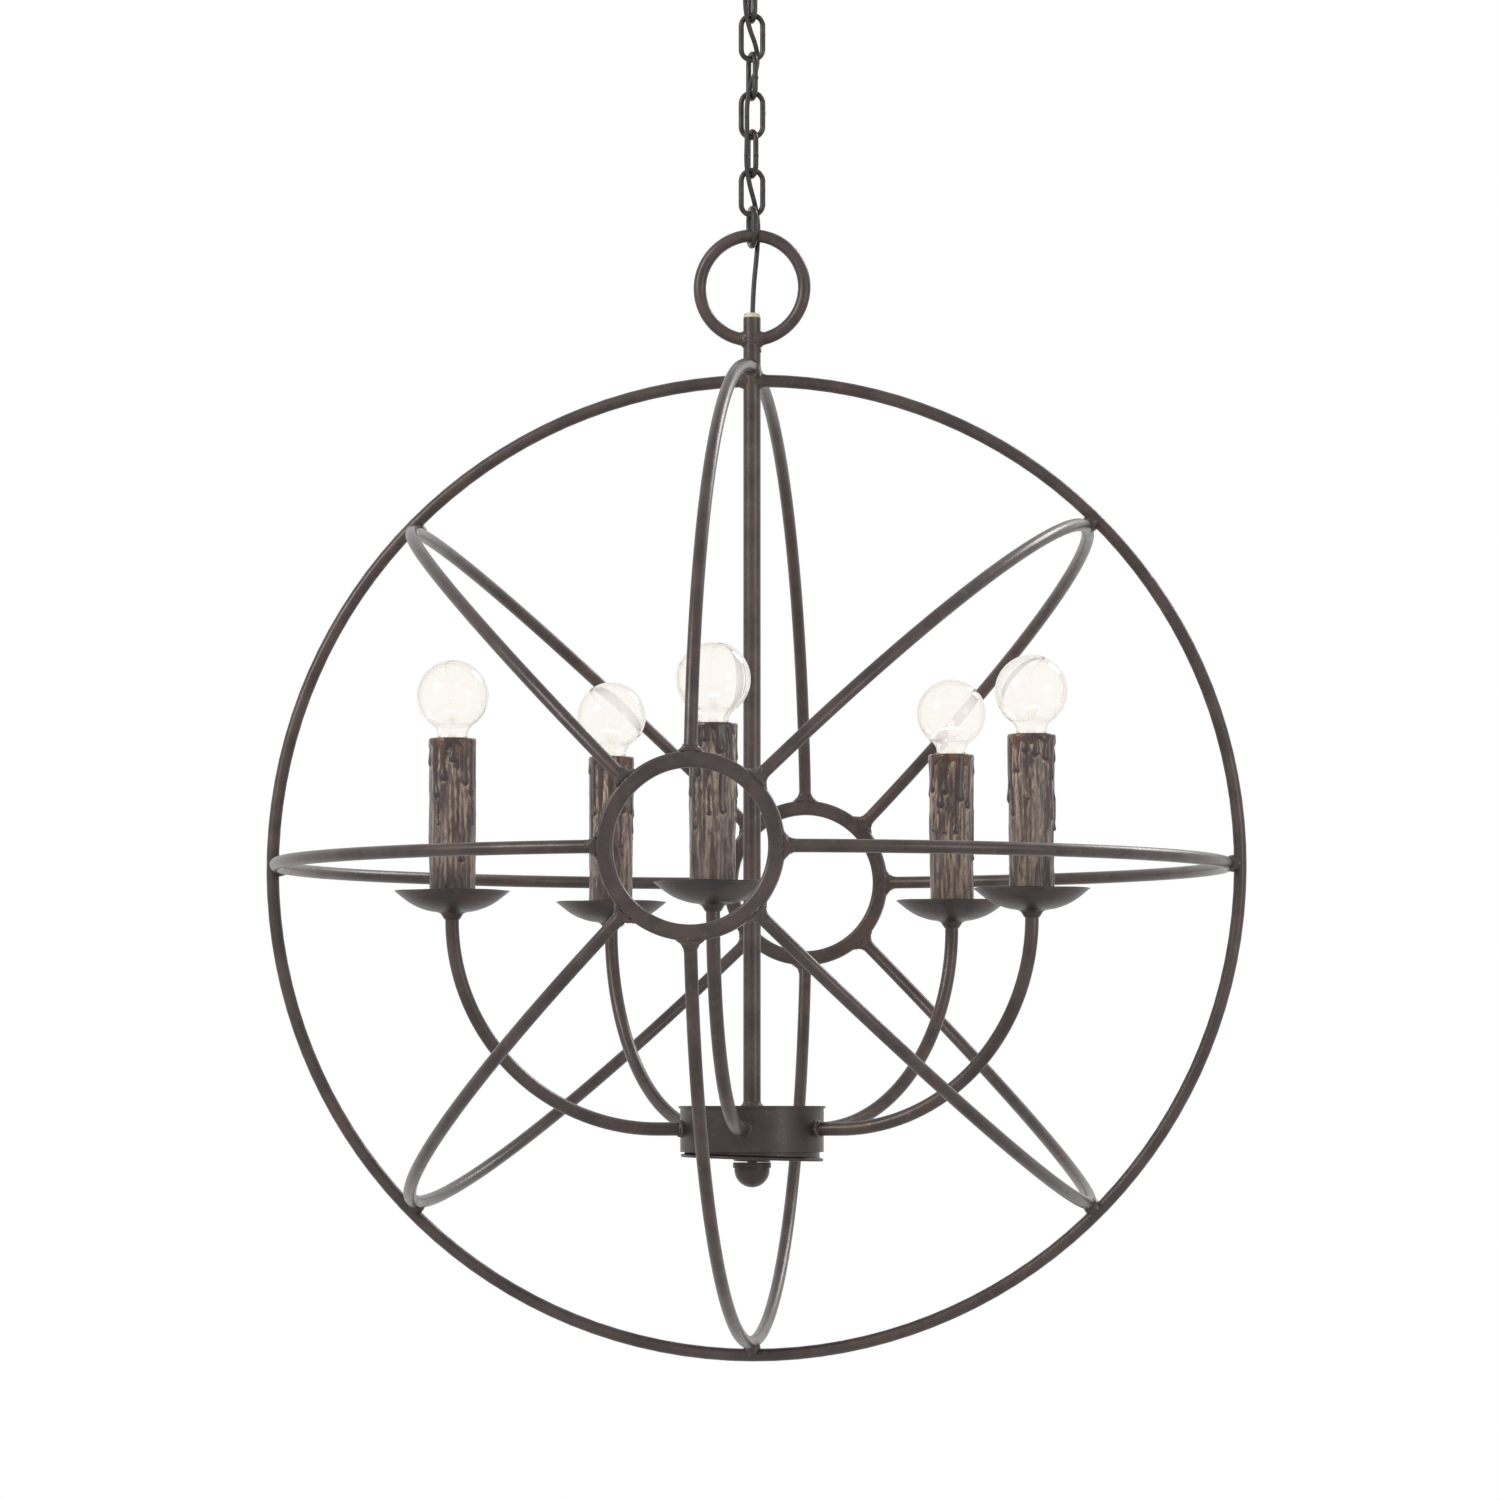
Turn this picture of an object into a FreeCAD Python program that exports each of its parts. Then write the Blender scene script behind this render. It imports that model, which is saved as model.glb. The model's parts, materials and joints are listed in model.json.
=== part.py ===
"""Orb chandelier: a welded wire orb with five dripped candle lights, hung on a chain from a ceiling canopy.

Millimetres, +Z up. The origin is the middle of the ceiling fixing, on the ceiling, and the light hangs in -Z.
The orb's front hub faces -Y.
"""

import FreeCAD, Part

import math
import os

V = FreeCAD.Vector
X_AXIS, Y_AXIS, Z_AXIS = V(1, 0, 0), V(0, 1, 0), V(0, 0, 1)
ARC_INSET = 1 - math.sqrt(0.5)  # how far a quarter round's middle lies in from each side, by its radius

# The orb's cage. Radii are to the middle of the rod.
HOOP_RADIUS = 306.0  # outer hoop, upright, facing the front
ROD_D = 8.0
HUB_RADIUS = 50.6  # the two rings where the rods meet
HUB_WIDTH = 9.7
HUB_DEPTH = 8.0
HUB_EDGE = 2.2  # rounding of a hub ring's edges
HUB_WELD_PROUD = 0.5  # how far a weld stands out of a hub ring's flat faces
ROD_DIRECTIONS = {  # degrees from right, towards up, seen from the front
    "right": 0,
    "upper_right": 45,
    "upper_left": 135,
    "left": 180,
    "lower_left": 225,
    "bottom": 270,
    "lower_right": 315,
}
TOP_ROD_GAP = 0.2  # between the hoop and the split top rods, which meet the stem above it
TOP_ROD_RISE = ROD_D + TOP_ROD_GAP
FLARE_OUT = 3.0  # how far a weld spreads past the rod that it holds
FLARE_ALONG = 7.0
FLARE_SINK = 0.4  # how far its thin end runs into the rod
STEM_FLARE_OUT = 1.2  # the spread where a rod meets the stem
STEM_FLARE_ALONG = 4.0
BEAD_R = 5.4  # the weld between a rod and the hoop
BEAD_HALF_H = 4.6

# The stem and the ring at its top
STEM_D = 11.0
STEM_BORE_D = 8.0
STEM_RISE = 40.0  # above the middle of the hoop's rod
STEM_WELD_OUT = 2.0
STEM_WELD_H = 5.0
RING_RADIUS = 33.2
RING_D = 8.0
RING_LIFT = 19.0  # the ring's centre above the stem's top
BUSH_FLANGE_D = 10.4
BUSH_FLANGE_H = 2.8
BUSH_PLUG_H = 8.0
BUSH_EDGE = 0.8
BUSH_FIT = 0.1  # radial room round the bush's plug
CORD_FIT = 0.2  # radial room round the cord in a bush or bore

# Chain, from the ceiling down. A turn is the angle of the link's flat about the chain, 0 facing the front.
LINK_LENGTH = 31.8
LINK_WIDTH = 17.0
LINK_WIRE_D = 3.4
LINK_TURNS = (112.0, 3.0, 115.0, 2.0, 118.0, 4.0)
JOINER_LENGTH = 27.3  # the heavier link that takes the ring
JOINER_WIDTH = 19.5
JOINER_WIRE_D = 4.0
JOINER_TURN = 110.0
CHAIN_GAP = 0.3  # between the wires of two links

# Ceiling fitting
LOOP_RADIUS = 10.5
LOOP_WIRE_D = 5.0
LOOP_COLLAR_D = 16.0
LOOP_COLLAR_H = 5.0
LOOP_COLLAR_EDGE_H = 2.0
LOOP_WAIST_D = 9.2  # where the loop runs into its collar
SHANK_D = 10.0
SHANK_BORE_D = 6.0
CANOPY_D = 110.0
CANOPY_H = 50.0
CANOPY_WALL = 1.2
CANOPY_RIM_H = 6.0
CANOPY_FOOT_D = 26.0  # the flat round the shank
CANOPY_BELLY_R = 44.0  # a point halfway round the bowl
CANOPY_BELLY_H = 18.0  # its height above the foot
BAR_LENGTH = 100.0
BAR_WIDTH = 22.0
BAR_T = 2.5
BAR_DROP = 24.5  # the bar's middle hangs this far below the ceiling
BAR_MIDDLE = 54.0  # length of the lowered middle
BAR_SLOPE = 6.0  # how far each web leans out on its way up
SLOT_SPACING = 84.0
SLOT_D = 5.0
SLOT_LENGTH = 9.0
NUT_ACROSS = 17.0
NUT_T = 3.0
SHANK_PAST_NUT = 1.0
HOLE_FIT = 0.2  # radial room round the shank in the plates
TERMINAL_SIZE = V(15.0, 16.0, 18.0)
TERMINAL_X = 10.6  # the block's near face
TERMINAL_EDGE = 1.0
TERMINAL_ENTRY_DEPTH = 5.0
TERMINAL_PITCH = 4.7  # between the three supply wires
TERMINAL_HOLE_D = 3.6
TERMINAL_SCREW_DEPTH = 5.0
TERMINAL_SCREW_X = 9.9  # from the block's near face
TERMINAL_WIRE_DEPTH = 3.0

# Supply cord
CORD_D = 3.1
CORD_BEND = 9.4  # the bend from the shank to the terminal block
CORD_IN_STEM = 25.0
CORD_ABOVE_BUSH = 8.0  # where the cord turns upright
RUN_SHARE = 0.45  # of a run, the most that the arc at one of its ends takes
SHARP_HALF_TURN = 40.0  # degrees

# Drum that holds the arms
DRUM_D = 90.0
DRUM_H = 28.8
DRUM_TOP = -150.5  # from the orb's centre
DRUM_WALL = 1.5
DRUM_LIP = 1.0
COVER_GAP = 1.2
COVER_H = 5.2
COVER_WALL = 1.5
COVER_EDGE = 2.0
STRAP_WIDTH = 12.0
STRAP_T = 2.0
STRAP_LIFT = 6.5  # the strap's lower face above the drum's open edge
STUD_D = 6.0
FINIAL_D = 24.0
FINIAL_BAND = 3.4
FINIAL_H = 15.6
FINIAL_STEP = 1.0  # how far the dome is set in from the band
FINIAL_BORE_ROOM = 1.0  # past the stud's end
STUD_IN_FINIAL = 9.0
STUD_FIT = 0.1
CONNECTOR_D = 30.0
CONNECTOR_H = 11.0
CONNECTOR_SCREW_R = 10.0
CONNECTOR_SCREW_DEPTH = 3.7
LEAD_D = 3.0

# Arms and candles
ARM_COUNT = 5
ARM_D = 8.5
ARM_WALL = 1.0
CANDLE_RADIUS = 190.0  # from the stem to each candle
ARM_IN_DRUM = 6.0
ARM_WELD_OUT = 1.6
ARM_WELD_ALONG = 3.6
SPIGOT_D = 7.0  # the arm's reduced end, which holds the cup and the lampholder
SPIGOT_H = 10.0  # above the cup's floor
SPIGOT_ROOM = 2.0  # above the spigot, in the lampholder
CUP_D = 72.0
CUP_RIM_Z = -17.0
CUP_DEPTH = 13.0
CUP_WALL = 1.2
CUP_FLOOR_D = 34.0
CUP_FLANK_R = 27.7  # a point halfway up the dish's side
CUP_FLANK_H = 4.4  # its height above the underside
CUP_NECK_D = 14.0
CUP_NECK_H = 5.0
CUP_NECK_TAPER = 1.0  # how far its lower end is drawn in
SLEEVE_D = 29.0
SLEEVE_BORE_D = 25.4
SLEEVE_TOP_Z = 78.0
SLEEVE_TURNS = (20, 140, 265, 75, 200)  # degrees: each sleeve stands as it was slipped on
SEAT_GAP = 0.1  # between stacked pieces
LIP_H = 3.0  # the wax lip round the sleeve's top
LIP_OUT = 0.9
DRIPS = (  # the wax runs: degrees round the sleeve, length, width
    (0, 58.0, 4.6),
    (38, 34.0, 3.8),
    (76, 71.0, 4.2),
    (118, 27.0, 4.8),
    (161, 49.0, 3.8),
    (205, 63.0, 4.6),
    (246, 22.0, 4.0),
    (283, 44.0, 4.4),
    (322, 30.0, 3.6),
)
DRIP_OUT = 1.5  # how far a run stands out of the sleeve
DRIP_TOP_SHARE = 0.86  # a run's width at the lip, by its width below
DRIP_END_SHARE = 1.02  # the bead at its end is a little fatter
HOLDER_D = 23.6
HOLDER_TOP_Z = 66.0
HOLDER_BORE_D = 17.0
HOLDER_BORE_DEPTH = 24.0
HOLDER_EDGE = 1.2
BULB_D = 45.0
BULB_TOP_Z = 127.0
BULB_LENGTH = 78.0
BULB_WALL = 0.8
BULB_JOIN = -58.0  # degrees below the ball's middle, where the neck runs into it
NECK_D = 19.0
NECK_LOW_H = 4.5  # the neck has its full width this far above the cap
NECK_SWELL = 0.5
MOUNT_D = 4.4  # the glass rod inside that carries the filament
MOUNT_H = 26.0
MOUNT_FLARE_H = 9.0
CAP_D = 14.0
CAP_FIT = 0.6  # the glass is this much smaller than the skirt
CAP_SKIRT_D = 16.4
CAP_SKIRT_H = 4.0
CAP_SKIRT_SLOPE = 0.8
CAP_H = 23.0
CAP_EDGE = 1.2
CAP_END_D = 8.0
CAP_END_H = 3.0
CAP_TIP_D = 4.0

# Heights from the orb's centre
ARM_Z = DRUM_TOP - DRUM_H / 2  # the arms leave the drum halfway up its side
STEM_TOP = HOOP_RADIUS + STEM_RISE
RING_Z = STEM_TOP + RING_LIFT
JOINER_REACH = JOINER_LENGTH - JOINER_WIRE_D  # between the middles of its end wires
LINK_REACH = LINK_LENGTH - LINK_WIRE_D


def seat_drop(wire_d, other_d):
    """How far one link's end wire lies below the end wire that hangs on it, from middle to middle."""
    return (wire_d + other_d) / 2 + CHAIN_GAP


JOINER_LOW = RING_Z + RING_RADIUS - seat_drop(RING_D, JOINER_WIRE_D)
LINK_COUNT = len(LINK_TURNS)
LOWEST_LINK_LOW = JOINER_LOW + JOINER_REACH - seat_drop(JOINER_WIRE_D, LINK_WIRE_D)
LINK_PITCH = LINK_REACH - seat_drop(LINK_WIRE_D, LINK_WIRE_D)
LINK_LOWS = [LOWEST_LINK_LOW + LINK_PITCH * (LINK_COUNT - 1 - n) for n in range(LINK_COUNT)]
LOOP_LOW = LINK_LOWS[0] + LINK_REACH - seat_drop(LINK_WIRE_D, LOOP_WIRE_D)
LOOP_Z = LOOP_LOW + LOOP_RADIUS
CANOPY_FOOT_Z = LOOP_Z + LOOP_RADIUS + LOOP_COLLAR_H
CEILING_Z = CANOPY_FOOT_Z + CANOPY_H
ORB_Z = -CEILING_Z  # the orb's centre, once the ceiling is at 0

# The cord's route along the chain: which gap between two links it passes, and where, as the orb hangs.
# Gap 0 is between the loop and link 1. It goes through link 2, link 3 and link 6, and beside the others.
CORD_BESIDE_CHAIN = (
    (0, -3.2, -5.1),
    (1, -3.9, -5.1),
    (2, 5.0, 6.6),
    (3, -2.7, -5.5),
    (4, -2.4, -5.3),
    (5, -3.2, -5.1),
    (6, 2.8, 6.7),
    (7, 3.2, 6.6),
)


def disc(centre, axis, radius):
    """A flat round face."""
    return Part.Face(Part.Wire(Part.Circle(centre, axis, radius).toShape()))


def bent_rod(centre, start, axis, diameter, degrees):
    """A round rod bent to an arc. start is where the middle of its first end stands from centre."""
    tangent = axis.cross(start).normalize()
    return disc(centre + start, tangent, diameter / 2).revolve(centre, axis, degrees)


def turned(points, centre=V(0, 0, 0), arcs=()):
    """A piece turned about a vertical line through centre, from (radius, height) points in order.

    arcs gives {number of the point that an arc starts at: the point in the arc's middle}.
    """
    arcs = dict(arcs)
    at = [V(r, 0, z) for r, z in points]
    edges = []
    for n, (a, b) in enumerate(zip(at, at[1:] + at[:1])):
        if n in arcs:
            r, z = arcs[n]
            edges.append(Part.Arc(a, V(r, 0, z), b).toShape())
        else:
            edges.append(Part.LineSegment(a, b).toShape())
    solid = Part.Face(Part.Wire(edges)).revolve(V(0, 0, 0), Z_AXIS, 360)
    solid.translate(centre)
    return solid


def tube(outer_d, inner_d, low, high):
    """An upright tube on the Z axis."""
    height = high - low
    outside = Part.makeCylinder(outer_d / 2, height, V(0, 0, low))
    return outside.cut(Part.makeCylinder(inner_d / 2, height, V(0, 0, low)))


def fused(*solids):
    """One solid from several that overlap, without the seams between their faces."""
    return solids[0].multiFuse(list(solids[1:])).removeSplitter()


def turned_copy(shape, degrees, axis=Z_AXIS, centre=V(0, 0, 0)):
    copy = shape.copy()
    copy.rotate(centre, axis, degrees)
    return copy


def moved_copy(shape, offset):
    copy = shape.copy()
    copy.translate(offset)
    return copy


def weld_flare(point, direction, rod_d, out=FLARE_OUT, along=FLARE_ALONG):
    """The hollow spread of weld at a rod's end: its wide end is at point, the rod along direction."""
    rod_r, sunk = rod_d / 2, ROD_D / 2
    wide, thin = rod_r + out, rod_r - FLARE_SINK
    flare = turned(
        [(0, -sunk), (wide, -sunk), (wide, 0), (thin, along), (0, along)],
        arcs={2: (thin + ARC_INSET * (wide - thin), ARC_INSET * along)},
    )
    flare.Placement = FreeCAD.Placement(point, FreeCAD.Rotation(Z_AXIS, direction))
    return flare


def hub_slab(front):
    """The space that a hub ring's welds may take, in front of the orb or behind it."""
    side = -1 if front else 1
    depth, reach = HUB_DEPTH + 2 * HUB_WELD_PROUD, HUB_RADIUS + HUB_WIDTH + FLARE_ALONG + ROD_D
    middle = side * hub_y()
    return Part.makeBox(2 * reach, depth, 2 * reach, V(-reach, middle - depth / 2, -reach))


def cage_rod_radius():
    """The rods lie inside the hoop and touch it."""
    return HOOP_RADIUS - ROD_D


def hub_outer():
    return HUB_RADIUS + HUB_WIDTH / 2


def hub_y():
    """How far each hub ring stands from the orb's middle: where the rods reach its rim."""
    return math.sqrt(cage_rod_radius() ** 2 - hub_outer() ** 2)


def hub_core(front):
    """The round space that a hub ring fills, which its rods' ends are cut to."""
    side = -1 if front else 1
    start = V(0, side * hub_y() - 2 * ROD_D, 0)
    return Part.makeCylinder(hub_outer(), 4 * ROD_D, start, Y_AXIS)


def hub_ring(front):
    """A flat ring with soft edges, upright."""
    side = -1 if front else 1
    inner, outer, half = HUB_RADIUS - HUB_WIDTH / 2, hub_outer(), HUB_DEPTH / 2
    ring = turned([(inner, -half), (outer, -half), (outer, half), (inner, half)])
    ring = ring.makeFillet(HUB_EDGE, [e for e in ring.Edges if is_circle(e)])
    ring.rotate(V(0, 0, 0), X_AXIS, 90)
    ring.translate(V(0, side * hub_y(), 0))
    return ring


def is_circle(edge):
    return isinstance(edge.Curve, Part.Circle) and edge.Closed


def hoop_torus():
    return Part.makeTorus(HOOP_RADIUS, ROD_D / 2, V(0, 0, 0), Y_AXIS)


def hoop_bead():
    """The weld between a rod and the hoop, at the right of the orb. The rod's own place is filled too."""
    narrow = ROD_D / 2
    bead = turned(
        [
            (0, -BEAD_HALF_H),
            (narrow, -BEAD_HALF_H),
            (narrow, BEAD_HALF_H),
            (0, BEAD_HALF_H),
        ],
        arcs={1: (BEAD_R, 0)},
    )
    bead.Placement = FreeCAD.Placement(
        V(HOOP_RADIUS - ROD_D / 2, 0, 0), FreeCAD.Rotation(Z_AXIS, X_AXIS)
    )
    return bead


def cage_rod():
    """The right-hand rod, from the front hub to the rear one, with its welds."""
    radius = cage_rod_radius()
    lean = math.degrees(math.asin(HUB_RADIUS / radius))
    start = turned_copy(Part.Vertex(0, -radius, 0), lean, Z_AXIS).Point
    rod = bent_rod(V(0, 0, 0), start, Z_AXIS, ROD_D, 180 - 2 * lean)
    rim = math.degrees(math.asin(hub_outer() / radius))
    for front in (True, False):
        side = -1 if front else 1
        point = V(hub_outer(), side * hub_y(), 0)
        along = V(math.cos(math.radians(rim)), -side * math.sin(math.radians(rim)), 0)
        rod = rod.fuse(weld_flare(point, along, ROD_D).common(hub_slab(front)))
        rod = rod.cut(hub_core(front))
    return rod.fuse(hoop_bead()).cut(hoop_torus())


def top_rod(front):
    """One half of the split top rod, from a hub up and back to the stem."""
    side = -1 if front else 1
    landing_z = HOOP_RADIUS + TOP_ROD_RISE
    # the arc is level where it meets the stem, and passes the hub's rim at the same depth as the other rods
    run, rise = hub_y(), landing_z - hub_outer()
    radius = (run**2 + rise**2) / (2 * rise)
    centre = V(0, 0, landing_z - radius)
    rim = math.asin((hub_outer() - centre.z) / radius)
    sunk = ROD_D / radius
    low = rim - sunk
    start = V(0, side * math.cos(low), math.sin(low)) * radius
    sweep = 90 - math.degrees(low)
    rod = bent_rod(centre, start, X_AXIS * side, ROD_D, sweep)
    point = V(0, side * hub_y(), hub_outer())
    along = V(0, -side * math.sin(rim), math.cos(rim))
    rod = rod.fuse(weld_flare(point, along, ROD_D).common(hub_slab(front)))
    at_stem = V(0, side * STEM_D / 2, landing_z)
    rod = rod.fuse(weld_flare(at_stem, Y_AXIS * side, ROD_D, STEM_FLARE_OUT, STEM_FLARE_ALONG))
    return rod.cut(hub_core(front)).cut(stem_core())


def stem_core():
    """The space that the stem fills, which what is welded to it is cut to."""
    low = DRUM_TOP
    return Part.makeCylinder(STEM_D / 2, STEM_TOP - low + ROD_D, V(0, 0, low))


def outer_hoop():
    """The hoop, open at the top where the stem passes through, with its welds to the stem."""
    hoop = hoop_torus()
    for side in (-1, 1):
        at_stem = V(side * STEM_D / 2, 0, HOOP_RADIUS)
        hoop = hoop.fuse(weld_flare(at_stem, X_AXIS * side, ROD_D, STEM_FLARE_OUT, STEM_FLARE_ALONG))
    return hoop.cut(stem_core())


def hanging_ring():
    """The ring that the chain takes, welded round the stem's top end."""
    ring = Part.makeTorus(RING_RADIUS, RING_D / 2, V(0, 0, RING_Z), Y_AXIS)
    out = STEM_D / 2
    lift = math.sqrt(RING_RADIUS**2 - out**2)
    for side in (-1, 1):
        point = V(side * out, 0, RING_Z - lift)
        flare = weld_flare(point, V(side * lift, 0, out).normalize(), RING_D)
        ring = ring.fuse(flare)
    return ring.cut(stem_core())


def centre_stem():
    """The tube that carries the drum and the wiring, with the weld at its foot."""
    low = DRUM_TOP - DRUM_WALL
    stem = tube(STEM_D, STEM_BORE_D, low, STEM_TOP)
    outside, inside = STEM_D / 2, STEM_BORE_D / 2
    foot, top = DRUM_TOP, DRUM_TOP + STEM_WELD_H
    weld = turned(
        [(inside, foot), (outside + STEM_WELD_OUT, foot), (outside, top), (inside, top)],
        arcs={1: (outside + ARC_INSET * STEM_WELD_OUT, foot + ARC_INSET * STEM_WELD_H)},
    )
    return fused(stem, weld)


def stem_bush():
    """The insulating bush that the cord enters the stem through."""
    hole = CORD_D / 2 + CORD_FIT
    plug, flange = STEM_BORE_D / 2 - BUSH_FIT, BUSH_FLANGE_D / 2
    low, top = STEM_TOP - BUSH_PLUG_H, STEM_TOP + BUSH_FLANGE_H
    inset = ARC_INSET * BUSH_EDGE
    return turned(
        [
            (hole, low),
            (plug, low),
            (plug, STEM_TOP),
            (flange, STEM_TOP),
            (flange, top - BUSH_EDGE),
            (flange - BUSH_EDGE, top),
            (hole, top),
        ],
        arcs={4: (flange - inset, top - inset)},
    )


def oval_link(length, width, wire_d):
    """A closed link in the XZ plane, with the middle of its lowest wire at the origin."""
    bend = (width - wire_d) / 2
    straight = length - width
    wire_r = wire_d / 2
    low, high = V(0, 0, bend), V(0, 0, bend + straight)
    parts = [
        bent_rod(low, V(-bend, 0, 0), Y_AXIS * -1, wire_d, 180),
        bent_rod(high, V(bend, 0, 0), Y_AXIS * -1, wire_d, 180),
        Part.makeCylinder(wire_r, straight, V(-bend, 0, bend)),
        Part.makeCylinder(wire_r, straight, V(bend, 0, bend)),
    ]
    return fused(*parts)


def chain():
    """{name: link} for the six chain links and the link that takes the ring."""
    made = {}
    link = oval_link(LINK_LENGTH, LINK_WIDTH, LINK_WIRE_D)
    for n, (turn, low) in enumerate(zip(LINK_TURNS, LINK_LOWS)):
        made[f"chain_link_{n + 1}"] = moved_copy(turned_copy(link, turn), V(0, 0, low))
    joiner = oval_link(JOINER_LENGTH, JOINER_WIDTH, JOINER_WIRE_D)
    made["connecting_link"] = moved_copy(turned_copy(joiner, JOINER_TURN), V(0, 0, JOINER_LOW))
    return made


def bar_middle_z():
    """The underside of the ceiling bar's lowered middle."""
    return CEILING_Z - BAR_DROP - BAR_T


def shank_top():
    return bar_middle_z() + BAR_T + NUT_T + SHANK_PAST_NUT


def canopy_loop():
    """The loop under the canopy, on a hollow threaded shank that the cord passes up through."""
    loop = Part.makeTorus(LOOP_RADIUS, LOOP_WIRE_D / 2, V(0, 0, LOOP_Z), Y_AXIS)
    collar_r, shank_r = LOOP_COLLAR_D / 2, SHANK_D / 2
    low, edge = CANOPY_FOOT_Z - LOOP_COLLAR_H - LOOP_WIRE_D / 2, CANOPY_FOOT_Z - LOOP_COLLAR_EDGE_H
    waist = LOOP_WAIST_D / 2
    body = turned(
        [
            (0, low),
            (waist, low),
            (collar_r, edge),
            (collar_r, CANOPY_FOOT_Z),
            (shank_r, CANOPY_FOOT_Z),
            (shank_r, shank_top()),
            (0, shank_top()),
        ],
        arcs={1: (waist + ARC_INSET * (collar_r - waist), edge - ARC_INSET * (edge - low))},
    )
    bore_low = LOOP_Z + LOOP_RADIUS / 2
    bore = Part.makeCylinder(SHANK_BORE_D / 2, shank_top() - bore_low, V(0, 0, bore_low))
    return loop.fuse(body).cut(bore)


def canopy():
    """The spun cover over the ceiling fixing, open at the top, with a hole for the shank."""
    rim, foot = CANOPY_D / 2, CANOPY_FOOT_D / 2
    low, top, wall = CANOPY_FOOT_Z, CEILING_Z, CANOPY_WALL
    shoulder = top - CANOPY_RIM_H
    hole = SHANK_D / 2 + HOLE_FIT
    belly_r, belly_z = CANOPY_BELLY_R, low + CANOPY_BELLY_H
    inset = wall * math.sqrt(0.5)
    return turned(
        [
            (hole, low),
            (foot, low),
            (rim, shoulder),
            (rim, top),
            (rim - wall, top),
            (rim - wall, shoulder),
            (foot - wall / 2, low + wall),
            (hole, low + wall),
        ],
        arcs={1: (belly_r, belly_z), 5: (belly_r - inset, belly_z + inset)},
    )


def ceiling_bar():
    """The steel bar screwed to the ceiling: its ends lie on the ceiling, and its middle is set down."""
    half, middle, drop, slope = BAR_LENGTH / 2, BAR_MIDDLE / 2, BAR_DROP, BAR_SLOPE
    top = [
        (-half, 0),
        (-middle - slope, 0),
        (-middle, -drop),
        (middle, -drop),
        (middle + slope, 0),
        (half, 0),
    ]
    side = BAR_T * (math.hypot(slope, drop) - slope) / drop  # keeps the slanted webs as thick as the rest
    under = [
        (half, -BAR_T),
        (middle + slope + side, -BAR_T),
        (middle + side, -drop - BAR_T),
        (-middle - side, -drop - BAR_T),
        (-middle - slope - side, -BAR_T),
        (-half, -BAR_T),
    ]
    outline = [V(x, -BAR_WIDTH / 2, z + CEILING_Z) for x, z in top + under]
    bar = Part.Face(Part.makePolygon(outline + outline[:1])).extrude(V(0, BAR_WIDTH, 0))
    hole_low = bar_middle_z() - BAR_T
    bar = bar.cut(Part.makeCylinder(SHANK_D / 2 + HOLE_FIT, 3 * BAR_T, V(0, 0, hole_low)))
    for side_x in (-SLOT_SPACING / 2, SLOT_SPACING / 2):
        bar = bar.cut(screw_slot(side_x))
    return bar


def screw_slot(middle_x):
    """The space of one slot through the bar's end, long along the bar."""
    radius, reach = SLOT_D / 2, (SLOT_LENGTH - SLOT_D) / 2
    low, height = CEILING_Z - 2 * BAR_T, 3 * BAR_T
    ends = [Part.makeCylinder(radius, height, V(middle_x + x, 0, low)) for x in (-reach, reach)]
    return fused(Part.makeBox(2 * reach, SLOT_D, height, V(middle_x - reach, -radius, low)), *ends)


def hex_nut(low):
    """A thin nut on the shank."""
    across = NUT_ACROSS / math.sqrt(3)
    corners = [
        V(across * math.cos(math.radians(60 * n)), across * math.sin(math.radians(60 * n)), low)
        for n in range(7)
    ]
    nut = Part.Face(Part.makePolygon(corners)).extrude(V(0, 0, NUT_T))
    return nut.cut(Part.makeCylinder(SHANK_D / 2, NUT_T, V(0, 0, low)))


def loop_nuts():
    """The two nuts that lock the shank to the bar, as separate solids."""
    return Part.makeCompound([hex_nut(bar_middle_z() - NUT_T), hex_nut(bar_middle_z() + BAR_T)])


def cord_top_z():
    """The height at which the cord runs level into the terminal block."""
    return shank_top() + SHANK_PAST_NUT + CORD_BEND


def terminal_block():
    """The connector block on the bar: the cord enters at one end and three supply wires at the other."""
    low = bar_middle_z() + BAR_T
    size = TERMINAL_SIZE
    block = Part.makeBox(size.x, size.y, size.z, V(TERMINAL_X, -size.y / 2, low))
    upright = [e for e in block.Edges if abs(e.tangentAt(0).dot(Z_AXIS)) > 0.9]
    block = block.makeFillet(TERMINAL_EDGE, upright)
    entry, cord_end = CORD_D / 2 + CORD_FIT, V(TERMINAL_X, 0, cord_top_z())
    block = block.cut(Part.makeCylinder(entry, TERMINAL_ENTRY_DEPTH, cord_end, X_AXIS))
    hole, far = TERMINAL_HOLE_D / 2, TERMINAL_X + size.x - TERMINAL_WIRE_DEPTH
    for y in (-TERMINAL_PITCH, 0, TERMINAL_PITCH):
        well = V(TERMINAL_X + TERMINAL_SCREW_X, y, low + size.z - TERMINAL_SCREW_DEPTH)
        block = block.cut(Part.makeCylinder(hole, TERMINAL_SCREW_DEPTH, well))
        block = block.cut(Part.makeCylinder(hole, TERMINAL_WIRE_DEPTH, V(far, y, low + size.z / 2), X_AXIS))
    return block


def chain_gap_z(n):
    """The height halfway between the end wires at gap n, counted from the ceiling."""
    lows = [LOOP_LOW] + LINK_LOWS + [JOINER_LOW]
    wires = [LOOP_WIRE_D] + [LINK_WIRE_D] * LINK_COUNT + [JOINER_WIRE_D, RING_D]
    return lows[n] + seat_drop(wires[n], wires[n + 1]) / 2


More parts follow.
